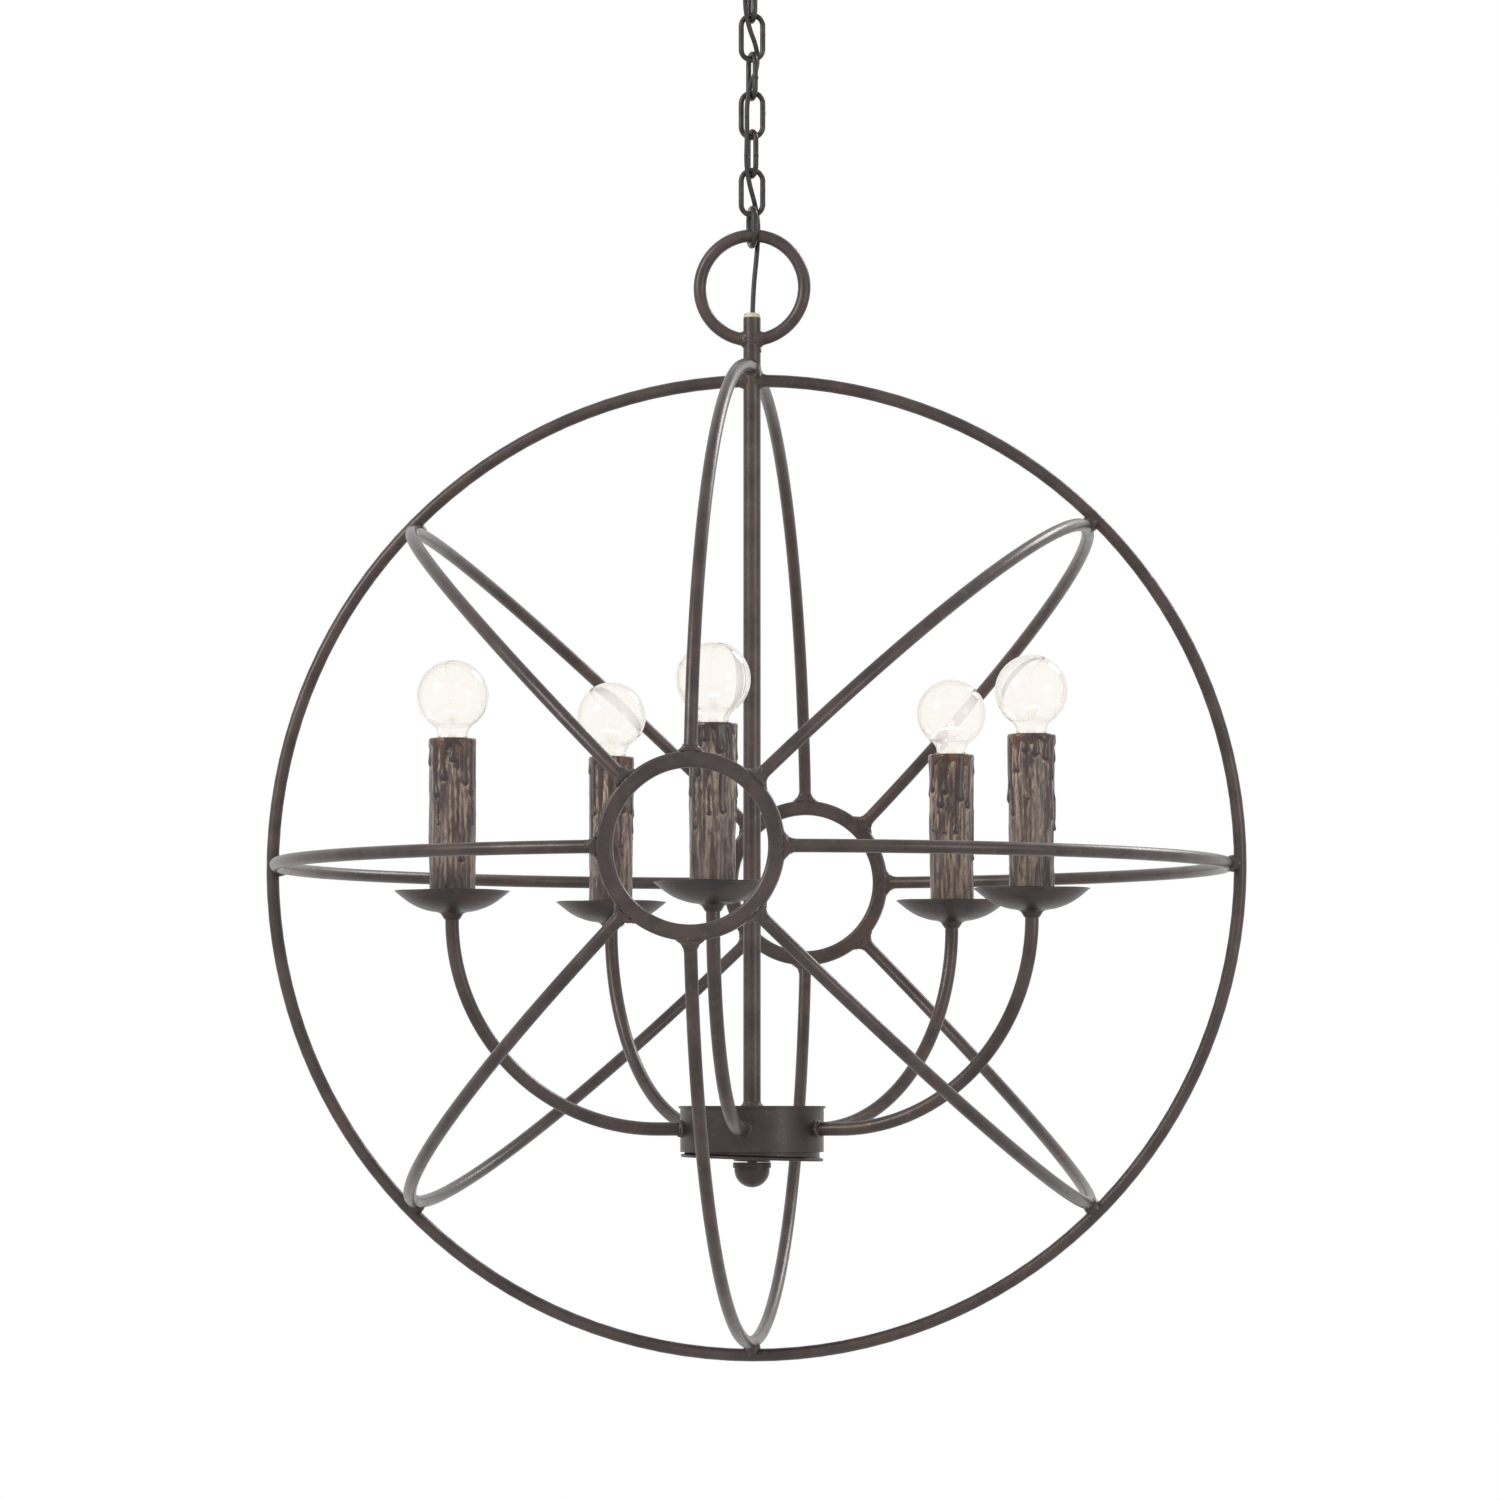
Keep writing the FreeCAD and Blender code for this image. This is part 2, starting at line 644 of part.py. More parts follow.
def cord_points():
    """The corners of the cord's route, from the terminal block down into the stem."""
    bend_top = cord_top_z()
    points = [
        V(TERMINAL_X + TERMINAL_ENTRY_DEPTH / 2, 0, bend_top),
        V(0, 0, bend_top),
        V(0.2, -0.3, LOOP_Z + LOOP_RADIUS - LOOP_WIRE_D / 2),
    ]
    points += [V(x, y, chain_gap_z(n)) for n, x, y in CORD_BESIDE_CHAIN]
    points += [V(0, 0, STEM_TOP + BUSH_FLANGE_H + CORD_ABOVE_BUSH), V(0, 0, STEM_TOP - CORD_IN_STEM)]
    return points


def rounded_path(points):
    """A wire of straight runs joined by arcs, with the list of their radii.

    Each arc is as large as its two runs allow, and at a sharp turn as small as CORD_BEND.
    """
    edges, radii, last = [], [], points[0]
    for before, corner, after in zip(points, points[1:], points[2:]):
        into, out = (before - corner), (after - corner)
        half_turn = (math.pi - into.getAngle(out)) / 2
        cut = RUN_SHARE * min(into.Length, out.Length)
        if math.degrees(half_turn) > SHARP_HALF_TURN:
            cut = CORD_BEND * math.tan(half_turn)
        radii.append(cut / math.tan(half_turn))
        a, b = corner + into.normalize() * cut, corner + out.normalize() * cut
        bisector = (into + out).normalize()
        middle = corner + bisector * (radii[-1] / math.cos(half_turn) - radii[-1])
        edges.append(Part.LineSegment(last, a).toShape())
        edges.append(Part.Arc(a, middle, b).toShape())
        last = b
    edges.append(Part.LineSegment(last, points[-1]).toShape())
    return Part.Wire(edges), radii


def supply_flex():
    """The cord, from the terminal block through the shank, along the chain and into the stem."""
    path, radii = rounded_path(cord_points())
    first = path.Edges[0]
    ring = Part.Wire(Part.Circle(first.Vertexes[0].Point, first.tangentAt(0), CORD_D / 2).toShape())
    cord = path.makePipeShell([ring], True, False)
    expected = math.pi * CORD_D**2 / 4 * path.Length
    print(f"cord: {path.Length:.0f} mm, volume {cord.Volume / expected:.4f} of section times length")
    print("cord radii:", ", ".join(f"{r:.0f}" for r in radii))
    return cord


def arm_drum():
    """The drum that the arms are welded into, open below, with a thin lip round its top."""
    outer, inner = DRUM_D / 2, DRUM_D / 2 - DRUM_WALL
    low, top = DRUM_TOP - DRUM_H, DRUM_TOP
    drum = turned(
        [
            (STEM_D / 2, top),
            (outer + DRUM_LIP, top),
            (outer + DRUM_LIP, top - DRUM_WALL),
            (outer, top - DRUM_WALL),
            (outer, low),
            (inner, low),
            (inner, top - DRUM_WALL),
            (STEM_D / 2, top - DRUM_WALL),
        ]
    )
    hole = Part.makeCylinder(ARM_D / 2, DRUM_D, V(0, 0, ARM_Z), Y_AXIS * -1)
    for n in range(ARM_COUNT):
        drum = drum.cut(turned_copy(hole, n * 360 / ARM_COUNT))
    return drum


def cover_top():
    return DRUM_TOP - DRUM_H - COVER_GAP


def drum_cover():
    """The loose pan that closes the drum, with a turned-up edge."""
    outer, hole = DRUM_D / 2, STUD_D / 2 + STUD_FIT
    top, low, wall = cover_top(), cover_top() - COVER_H, COVER_WALL
    inset = ARC_INSET * COVER_EDGE
    return turned(
        [
            (hole, low),
            (outer - COVER_EDGE, low),
            (outer, low + COVER_EDGE),
            (outer, top),
            (outer - wall, top),
            (outer - wall, low + wall),
            (hole, low + wall),
        ],
        arcs={1: (outer - inset, low + inset)},
    )


def cover_strap():
    """The strap across the drum with the stud that the finial screws on."""
    low = DRUM_TOP - DRUM_H + STRAP_LIFT
    inner = DRUM_D / 2 - DRUM_WALL
    strap = Part.makeBox(2 * inner, STRAP_WIDTH, STRAP_T, V(-inner, -STRAP_WIDTH / 2, low))
    strap = strap.common(Part.makeCylinder(inner, STRAP_T, V(0, 0, low)))
    end = cover_top() - COVER_H - STUD_IN_FINIAL
    return fused(strap, Part.makeCylinder(STUD_D / 2, low + STRAP_T - end, V(0, 0, end)))


def finial():
    """The domed nut under the cover."""
    top = cover_top() - COVER_H - SEAT_GAP
    band, radius = top - FINIAL_BAND, FINIAL_D / 2
    low = top - FINIAL_H
    bore = STUD_D / 2 + STUD_FIT
    bore_end = top - STUD_IN_FINIAL - FINIAL_BORE_ROOM
    dome = radius - FINIAL_STEP
    rise = band - low
    ball = (dome**2 + rise**2) / (2 * rise)  # the dome is part of a ball that ends level at the bottom
    halfway = math.atan2(dome, ball - rise) / 2
    return turned(
        [
            (0, low),
            (0, bore_end),
            (bore, bore_end),
            (bore, top),
            (radius, top),
            (radius, band),
            (dome, band),
        ],
        arcs={6: (ball * math.sin(halfway), low + ball * (1 - math.cos(halfway)))},
    )


def drum_connector():
    """The round connector block in the drum, where the stem's wiring meets the arms'."""
    low = ARM_Z - CONNECTOR_H / 2
    block = Part.makeCylinder(CONNECTOR_D / 2, CONNECTOR_H, V(0, 0, low))
    foot = V(0, CONNECTOR_SCREW_R, low)
    screw = Part.makeCylinder(TERMINAL_HOLE_D / 2, CONNECTOR_SCREW_DEPTH, foot)
    for n in range(ARM_COUNT):
        block = block.cut(turned_copy(screw, n * 360 / ARM_COUNT))
    return block


def arm_path(start_r, end_z):
    """The middle of the front arm: level out of the drum, a quarter bend, and up to the candle.

    The bend reaches the cup, unless the arm would then start to rise inside the drum.
    """
    bend = min(neck_low_z() - ARM_Z, CANDLE_RADIUS - DRUM_D / 2 - ARM_D)
    bend_start, bend_top = CANDLE_RADIUS - bend, ARM_Z + bend
    a, b = V(0, -start_r, ARM_Z), V(0, -bend_start, ARM_Z)
    c, d = V(0, -CANDLE_RADIUS, bend_top), V(0, -CANDLE_RADIUS, end_z)
    middle = V(0, ARC_INSET * bend - CANDLE_RADIUS, ARM_Z + ARC_INSET * bend)
    return Part.Wire(
        [
            Part.LineSegment(a, b).toShape(),
            Part.Arc(b, middle, c).toShape(),
            Part.LineSegment(c, d).toShape(),
        ]
    )


def swept_round(path, diameter):
    """A round rod along a path of tangent lines and arcs."""
    first = path.Edges[0]
    start = first.Vertexes[0].Point
    ring = Part.Wire(Part.Circle(start, first.tangentAt(first.FirstParameter), diameter / 2).toShape())
    return path.makePipeShell([ring], True, False)


def cup_floor_z():
    """The upper face of the cup's floor."""
    return CUP_RIM_Z - CUP_DEPTH + CUP_WALL


def neck_low_z():
    return CUP_RIM_Z - CUP_DEPTH - CUP_NECK_H


def arm():
    """The front arm: a bent tube with a reduced end that passes through the cup."""
    start = DRUM_D / 2 - ARM_IN_DRUM
    shoulder = neck_low_z() + CUP_NECK_H - CUP_WALL
    outside = swept_round(arm_path(start, shoulder), ARM_D)
    bore_d = ARM_D - 2 * ARM_WALL
    spigot_top = cup_floor_z() + SPIGOT_H
    foot = V(0, -CANDLE_RADIUS, shoulder - 2 * ARM_WALL)
    height = spigot_top - foot.z
    spigot = Part.makeCylinder(SPIGOT_D / 2, height, foot)
    bore = swept_round(arm_path(start - ARM_WALL, foot.z), bore_d)
    lead_hole = Part.makeCylinder(LEAD_D / 2 + CORD_FIT, height, foot)
    return outside.fuse(spigot).fuse(drum_weld()).cut(bore).cut(lead_hole)


def drum_weld():
    """The weld round an arm where it enters the drum."""
    wall, arm_r, out, along = DRUM_D / 2, ARM_D / 2, ARM_WELD_OUT, ARM_WELD_ALONG
    flare = turned(
        [(0, -DRUM_WALL), (arm_r + out, -DRUM_WALL), (arm_r + out, 0), (arm_r, along), (0, along)],
        arcs={2: (arm_r + ARC_INSET * out, ARC_INSET * along)},
    )
    flare.Placement = FreeCAD.Placement(V(0, -wall, ARM_Z), FreeCAD.Rotation(Z_AXIS, Y_AXIS * -1))
    return flare.cut(Part.makeCylinder(wall, DRUM_H, V(0, 0, DRUM_TOP - DRUM_H)))


def drip_cup():
    """The dish under the front candle, spun from sheet, with a neck that sits over the arm."""
    rim, floor, neck = CUP_D / 2, CUP_FLOOR_D / 2, CUP_NECK_D / 2
    bottom, wall = CUP_RIM_Z - CUP_DEPTH, CUP_WALL
    hole, arm_r = SPIGOT_D / 2 + CORD_FIT, ARM_D / 2 + CORD_FIT
    drawn_in, flank_z, inset = neck - CUP_NECK_TAPER, bottom + CUP_FLANK_H, wall * math.sqrt(0.5)
    return turned(
        [
            (arm_r, neck_low_z()),
            (drawn_in, neck_low_z()),
            (neck, bottom),
            (floor, bottom),
            (rim, CUP_RIM_Z - wall / 2),
            (rim, CUP_RIM_Z),
            (rim - wall, CUP_RIM_Z),
            (floor, bottom + wall),
            (hole, bottom + wall),
            (hole, bottom),
            (arm_r, bottom),
        ],
        centre=V(0, -CANDLE_RADIUS, 0),
        arcs={
            1: (drawn_in + ARC_INSET * CUP_NECK_TAPER, bottom - ARC_INSET * CUP_NECK_H),
            3: (CUP_FLANK_R, flank_z),
            6: (CUP_FLANK_R - inset, flank_z + inset),
        },
    )


def wax_run(degrees, length, width):
    """One run of wax down the sleeve's side, with a rounded end, a little fatter there."""
    radius = width / 2
    out = SLEEVE_D / 2 + DRIP_OUT - radius
    low = SLEEVE_TOP_Z - length
    top = SLEEVE_TOP_Z - LIP_H / 2
    run = Part.makeCone(radius, DRIP_TOP_SHARE * radius, top - low, V(out, 0, low))
    end = Part.makeSphere(DRIP_END_SHARE * radius, V(out, 0, low))
    return turned_copy(run.fuse(end), degrees)


def candle_sleeve(turn):
    """The front candle's sleeve, with a lip of wax and runs down its side."""
    radius, bore = SLEEVE_D / 2, SLEEVE_BORE_D / 2
    low, top = cup_floor_z() + SEAT_GAP, SLEEVE_TOP_Z
    sleeve = turned(
        [
            (0, low),
            (radius, low),
            (radius, top - LIP_H),
            (radius, top),
            (0, top),
        ],
        arcs={2: (radius + LIP_OUT, top - LIP_H / 2)},
    )
    sleeve = sleeve.multiFuse([wax_run(*drip) for drip in DRIPS])
    sleeve = sleeve.cut(Part.makeCylinder(bore, top - low, V(0, 0, low)))
    sleeve.rotate(V(0, 0, 0), Z_AXIS, turn)
    sleeve.translate(V(0, -CANDLE_RADIUS, 0))
    return sleeve


def lampholder():
    """The front candle's lampholder: a long insulated skirt with the cap's socket at its top."""
    radius, socket = HOLDER_D / 2, HOLDER_BORE_D / 2
    low, top = cup_floor_z() + SEAT_GAP, HOLDER_TOP_Z
    floor = top - HOLDER_BORE_DEPTH
    spigot, spigot_top = SPIGOT_D / 2 + CORD_FIT, cup_floor_z() + SPIGOT_H + SPIGOT_ROOM
    return turned(
        [
            (spigot, low),
            (radius, low),
            (radius, top - HOLDER_EDGE),
            (radius - HOLDER_EDGE, top),
            (socket, top),
            (socket, floor),
            (LEAD_D / 2 + CORD_FIT, floor),
            (LEAD_D / 2 + CORD_FIT, spigot_top),
            (spigot, spigot_top),
        ],
        centre=V(0, -CANDLE_RADIUS, 0),
    )


def cap_top_z():
    return BULB_TOP_Z - BULB_LENGTH + CAP_END_H + CAP_H


def bulb_glass():
    """The front candle's bulb: a thin glass ball on a neck, with the filament's glass rod inside."""
    outside, inside, low = bulb_curve(0), bulb_curve(BULB_WALL), cap_top_z()
    mount, top = MOUNT_D / 2, low + MOUNT_H
    seal_r, seal_z = inside[0][0], low + BULB_WALL
    flare_z = low + MOUNT_FLARE_H
    curve_r = mount + ARC_INSET * (seal_r - mount)
    curve_z = seal_z + ARC_INSET * (flare_z - seal_z)
    points = [(0, low)] + outside + inside[:0:-1] + [(seal_r, seal_z), (mount, flare_z)]
    points += [(mount, top - mount), (0, top)]
    join, centre, neck_z = math.radians(BULB_JOIN / 2 + 45), BULB_TOP_Z - BULB_D / 2, bulb_neck_z()
    ball, shell = BULB_D / 2, BULB_D / 2 - BULB_WALL
    return turned(
        points,
        centre=V(0, -CANDLE_RADIUS, 0),
        arcs={
            2: (NECK_D / 2 + NECK_SWELL, neck_z),
            3: (ball * math.cos(join), centre + ball * math.sin(join)),
            5: (shell * math.cos(join), centre + shell * math.sin(join)),
            6: (NECK_D / 2 + NECK_SWELL - BULB_WALL, neck_z),
            8: (curve_r, curve_z),
            10: (mount * math.sqrt(0.5), top - ARC_INSET * mount),
        },
    )


def bulb_curve(inset):
    """(radius, height) points up the bulb's side: the cap, the neck, the ball's foot and its top.

    inset is how far they lie inside its surface.
    """
    ball, centre = BULB_D / 2 - inset, BULB_TOP_Z - BULB_D / 2
    join = math.radians(BULB_JOIN)
    return [
        (CAP_SKIRT_D / 2 - CAP_FIT - inset, cap_top_z()),
        (NECK_D / 2 - inset, cap_top_z() + NECK_LOW_H),
        (ball * math.cos(join), centre + ball * math.sin(join)),
        (0, centre + ball),
    ]


def bulb_neck_z():
    """The height halfway up the neck."""
    low, join = bulb_curve(0)[1:3]
    return (low[1] + join[1]) / 2


def bulb_cap():
    """The front candle's bulb cap, with its skirt above and the contact's insulator below."""
    cap, skirt, end, tip_r = CAP_D / 2, CAP_SKIRT_D / 2, CAP_END_D / 2, CAP_TIP_D / 2
    top = cap_top_z()
    low = top - CAP_H
    tip = low - CAP_END_H
    return turned(
        [
            (0, tip),
            (tip_r, tip),
            (end, low),
            (cap - CAP_EDGE, low),
            (cap, low + CAP_EDGE),
            (cap, top - CAP_SKIRT_H - CAP_SKIRT_SLOPE),
            (skirt, top - CAP_SKIRT_H),
            (skirt, top),
            (0, top),
        ],
        centre=V(0, -CANDLE_RADIUS, 0),
        arcs={1: (end - ARC_INSET * (end - tip_r), tip + ARC_INSET * CAP_END_H)},
    )


def fixture_wiring():
    """The leads inside the stem and the five arms, as separate solids."""
    stem_top = STEM_TOP - CORD_IN_STEM
    stem_low = ARM_Z + CONNECTOR_H / 2
    leads = [Part.makeCylinder(CORD_D / 2, stem_top - stem_low, V(0, 0, stem_low))]
    lead_top = HOLDER_TOP_Z - HOLDER_BORE_DEPTH
    lead = swept_round(arm_path(CONNECTOR_D / 2, lead_top), LEAD_D)
    leads += [turned_copy(lead, n * 360 / ARM_COUNT) for n in range(ARM_COUNT)]
    return Part.makeCompound(leads)


def candles():
    """{name: piece} for the five arms and what they carry, from the front one round to the left."""
    made = {}
    shared = {"arm": arm(), "drip_cup": drip_cup(), "bulb_glass": bulb_glass(), "bulb_cap": bulb_cap()}
    holder = lampholder()
    holders = []
    for n in range(ARM_COUNT):
        angle = n * 360 / ARM_COUNT
        for name, shape in shared.items():
            made[f"{name}_{n + 1}"] = turned_copy(shape, angle)
        made[f"candle_sleeve_{n + 1}"] = turned_copy(candle_sleeve(SLEEVE_TURNS[n]), angle)
        holders.append(turned_copy(holder, angle))
    made["lampholders"] = Part.makeCompound(holders)
    return made


def cage():
    """{name: piece} for the hoop, the hubs and the rods."""
    made = {
        "outer_hoop": outer_hoop(),
        "front_hub_ring": hub_ring(True),
        "rear_hub_ring": hub_ring(False),
        "cage_rod_top_front": top_rod(True),
        "cage_rod_top_rear": top_rod(False),
    }
    rod = cage_rod()
    for name, angle in ROD_DIRECTIONS.items():
        made[f"cage_rod_{name}"] = turned_copy(rod, -angle, Y_AXIS)
    return made


def build():
    """{node name: shape}, with the ceiling at height 0."""
    pieces = {
        "ceiling_bar": ceiling_bar(),
        "canopy": canopy(),
        "canopy_loop": canopy_loop(),
        "loop_nuts": loop_nuts(),
        "terminal_block": terminal_block(),
        "supply_flex": supply_flex(),
        **chain(),
        "hanging_ring": hanging_ring(),
        "stem_bush": stem_bush(),
        "centre_stem": centre_stem(),
        **cage(),
        "arm_drum": arm_drum(),
        "drum_cover": drum_cover(),
        "cover_strap": cover_strap(),
        "finial": finial(),
        "drum_connector": drum_connector(),
        "fixture_wiring": fixture_wiring(),
        **candles(),
    }
    return {name: moved_copy(shape, V(0, 0, ORB_Z)) for name, shape in pieces.items()}


def main():
    os.makedirs("parts", exist_ok=True)
    for name, shape in build().items():
        shape.exportStep(f"parts/{name}.step")


if __name__ == "__main__":
    main()
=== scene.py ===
"""The looks of a welded orb chandelier with dripped candle lights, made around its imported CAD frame.

Metres, +Z up. The origin is the middle of the ceiling fixing, on the ceiling, and the light hangs in -Z.
"""

import json
import logging
import math
from dataclasses import dataclass, field
from enum import Enum
from functools import lru_cache
from typing import Any, Callable, Optional, Sequence, Union

import bpy
import numpy as np
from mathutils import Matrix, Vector

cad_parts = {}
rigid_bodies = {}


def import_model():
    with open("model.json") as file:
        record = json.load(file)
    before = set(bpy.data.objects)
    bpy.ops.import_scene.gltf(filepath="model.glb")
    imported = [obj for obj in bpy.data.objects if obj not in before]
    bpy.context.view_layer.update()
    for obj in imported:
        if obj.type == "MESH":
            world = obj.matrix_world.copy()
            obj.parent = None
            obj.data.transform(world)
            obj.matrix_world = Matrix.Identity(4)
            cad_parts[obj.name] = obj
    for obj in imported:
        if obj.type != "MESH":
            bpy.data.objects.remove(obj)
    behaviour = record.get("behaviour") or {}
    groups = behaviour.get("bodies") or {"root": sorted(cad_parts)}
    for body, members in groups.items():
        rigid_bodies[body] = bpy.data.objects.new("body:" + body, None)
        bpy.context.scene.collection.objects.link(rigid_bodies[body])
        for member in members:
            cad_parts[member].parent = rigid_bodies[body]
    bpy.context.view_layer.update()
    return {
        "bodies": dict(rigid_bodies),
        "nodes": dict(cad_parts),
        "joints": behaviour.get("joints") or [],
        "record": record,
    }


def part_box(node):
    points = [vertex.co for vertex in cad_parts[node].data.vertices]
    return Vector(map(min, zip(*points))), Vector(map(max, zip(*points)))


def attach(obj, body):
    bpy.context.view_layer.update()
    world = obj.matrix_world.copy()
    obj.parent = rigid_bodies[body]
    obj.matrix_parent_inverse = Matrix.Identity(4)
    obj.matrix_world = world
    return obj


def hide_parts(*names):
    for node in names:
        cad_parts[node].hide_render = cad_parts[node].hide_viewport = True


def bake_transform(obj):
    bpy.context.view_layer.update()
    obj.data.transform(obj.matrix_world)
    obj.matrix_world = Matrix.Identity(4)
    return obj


MM = 0.001
ORB_Z = -634.6 * MM  # the orb's middle below the ceiling
ORB = Vector((0.0, 0.0, ORB_Z))
RIGHT, REAR, UP = Vector((1, 0, 0)), Vector((0, 1, 0)), Vector((0, 0, 1))
LOG = logging.getLogger("orb_chandelier")

Colour = tuple[float, float, float, float]
Feed = Union["Sock", float, int, bool, Sequence[float], bpy.types.Material]
Shape = tuple[list[Vector], list[tuple[int, ...]]]  # points and faces
Rows = tuple[tuple[float, float], ...]


def shade(red: float, green: float, blue: float) -> Colour:
    """A display colour as linear light.

    Args:
        red: 0 to 255, as a picture shows it.
        green: the same.
        blue: the same.

    Returns:
        The colour with full alpha.
    """
    def linear(part: float) -> float:
        """One channel of it."""
        part /= 255.0
        return part / 12.92 if part <= 0.04045 else ((part + 0.055) / 1.055) ** 2.4

    return (linear(red), linear(green), linear(blue), 1.0)


class Sock:
    """A node's output, on which Python's operators add Math nodes."""

    def __init__(self, bench: "Bench", socket: bpy.types.NodeSocket) -> None:
        """Keeps the socket and the bench that builds its tree."""
        self.bench, self.socket = bench, socket

    def math(self, operation: str, *values: Feed, clamp: bool = False) -> "Sock":
        """Adds one Math node.

        Args:
            operation: what it does.
            values: its inputs, in order.
            clamp: whether its result stays between 0 and 1.

        Returns:
            Its result.
        """
        settings = {"operation": operation, "use_clamp": clamp}
        return self.bench.node("ShaderNodeMath", settings, dict(enumerate(values)))[0]

    def __add__(self, other: Feed) -> "Sock":
        """The sum."""
        return self.math("ADD", self, other)

    def __sub__(self, other: Feed) -> "Sock":
        """The difference."""
        return self.math("SUBTRACT", self, other)

    def __rsub__(self, other: Feed) -> "Sock":
        """The difference the other way."""
        return self.math("SUBTRACT", other, self)

    def __mul__(self, other: Feed) -> "Sock":
        """The product."""
        return self.math("MULTIPLY", self, other)

    def __truediv__(self, other: Feed) -> "Sock":
        """The quotient."""
        return self.math("DIVIDE", self, other)

    __radd__ = __add__
    __rmul__ = __mul__

    def held(self) -> "Sock":
        """The value kept between 0 and 1."""
        return self.math("ADD", self, 0.0, clamp=True)

    def step(self, low: float, high: float) -> "Sock":
        """A smooth step.

        Args:
            low: where it leaves 0.
            high: where it reaches 1.

        Returns:
            The stepped value.
        """
        settings = {"interpolation_type": "SMOOTHSTEP"}
        inputs = {"Value": self, "From Min": low, "From Max": high}
        return self.bench.node("ShaderNodeMapRange", settings, inputs)[0]


class Made:
    """A node that has been added, whose outputs are read by name or number."""

    def __init__(self, bench: "Bench", node: bpy.types.Node) -> None:
        """Keeps the node."""
        self.bench, self.node = bench, node

    def __getitem__(self, key: Union[str, int]) -> Sock:
        """One of its outputs."""
        return Sock(self.bench, self.node.outputs[key])


class Bench:
    """Builds one node tree."""

    def __init__(self, tree: bpy.types.NodeTree) -> None:
        """Starts on a tree."""
        self.tree = tree

    def node(self, kind: str, settings: Optional[dict[str, Any]] = None,
             inputs: Optional[dict[Union[str, int], Feed]] = None) -> Made:
        """Adds a node.

        Args:
            kind: its type.
            settings: its settings, which are set first.
            inputs: the values or links of its sockets, by name or number.

        Returns:
            The node.
        """
        node = self.tree.nodes.new(kind)
        for name, value in (settings or {}).items():
            setattr(node, name, value)
        for key, value in (inputs or {}).items():
            if isinstance(value, Sock):
                self.tree.links.new(value.socket, node.inputs[key])
            else:
                node.inputs[key].default_value = value
        return Made(self, node)

    def place(self, stretch: tuple[float, float, float] = (1, 1, 1),
              turn: tuple[float, float, float] = (0, 0, 0)) -> Sock:
        """The object's own coordinates.

        Args:
            stretch: how much finer a pattern is along each axis.
            turn: radians about each axis.

        Returns:
            The place as a vector.
        """
        spot = self.node("ShaderNodeTexCoord")["Object"]
        return self.node("ShaderNodeMapping", None, {"Vector": spot, "Rotation": turn, "Scale": stretch})[0]

    def noise(self, grain: float, detail: float = 2.0, rough: float = 0.5, place: Optional[Sock] = None,
              twist: float = 0.0) -> Sock:
        """A noise.

        Args:
            grain: the size of its blotches, in metres.
            detail: how many finer layers it has.
            rough: how strong the finer layers are.
            place: where it is read, or the object's own coordinates.
            twist: how much it is distorted.

        Returns:
            The noise, about 0.5.
        """
        inputs = {"Vector": place or self.place(), "Scale": 1.0 / grain, "Detail": detail,
                  "Roughness": rough, "Distortion": twist}
        return self.node("ShaderNodeTexNoise", None, inputs)[0]

    def attribute(self, name: str) -> Sock:
        """A number kept on the mesh."""
        return self.node("ShaderNodeAttribute", {"attribute_name": name})["Fac"]

    def vector(self, operation: str, inputs: dict[Union[str, int], Feed]) -> Sock:
        """A Vector Math node's result."""
        return self.node("ShaderNodeVectorMath", {"operation": operation}, inputs)[0]

    def mixed(self, share: Feed, first: Feed, second: Feed) -> Sock:
        """Two colours mixed.

        Args:
            share: the second one's share.
            first: a colour.
            second: a colour.

        Returns:
            The colour.
        """
        return self.node("ShaderNodeMix", {"data_type": "RGBA"}, {0: share, 6: first, 7: second})[2]

    def bump(self, height: Feed, distance: float, strength: float = 1.0, under: Optional[Sock] = None) -> Sock:
        """A bumped normal.

        Args:
            height: the relief, 0 to 1.
            distance: its depth in metres.
            strength: how strongly it shows.
            under: a normal that it lies on.

        Returns:
            The normal.
        """
        inputs: dict[Union[str, int], Feed] = {"Height": height, "Distance": distance, "Strength": strength}
        if under is not None:
            inputs["Normal"] = under
        return self.node("ShaderNodeBump", None, inputs)[0]

    def principled(self, **inputs: Feed) -> Sock:
        """A Principled BSDF.

        Args:
            inputs: its sockets, with underscores for spaces.

        Returns:
            Its shader.
        """
        named = {name.replace("_", " "): value for name, value in inputs.items()}
        return self.node("ShaderNodeBsdfPrincipled", None, named)[0]

    def glow(self, light: Colour) -> Sock:
        """A surface that only gives light, as bright as its colour."""
        return self.principled(Base_Color=(0, 0, 0, 1), Roughness=1.0, Specular_IOR_Level=0.0, Emission_Color=light,
                               Emission_Strength=1.0)

    def blended(self, share: Feed, first: Feed, second: Feed) -> Sock:
        """Two shaders mixed, with the second one's share."""
        return self.node("ShaderNodeMixShader", None, {0: share, 1: first, 2: second})[0]

    def seen(self) -> Sock:
        """1 for the rays that show the surroundings as they are: camera, glossy and transmission."""
        path = self.node("ShaderNodeLightPath")
        return (path["Is Camera Ray"] + path["Is Glossy Ray"] + path["Is Transmission Ray"]).held()


@dataclass(frozen=True)
class Finish:
    """A finish that a material is made of."""

    name: str

    def surface(self, bench: Bench) -> Sock:
        """The finish's shader."""
        raise NotImplementedError

    @lru_cache(maxsize=None)
    def material(self) -> bpy.types.Material:
        """The material, which is made once.

        Returns:
            The material.
        """
        material = bpy.data.materials.new(self.name)
        material.use_nodes = True
        material.node_tree.nodes.clear()
        bench = Bench(material.node_tree)
        bench.node("ShaderNodeOutputMaterial", None, {"Surface": self.surface(bench)})
        return material


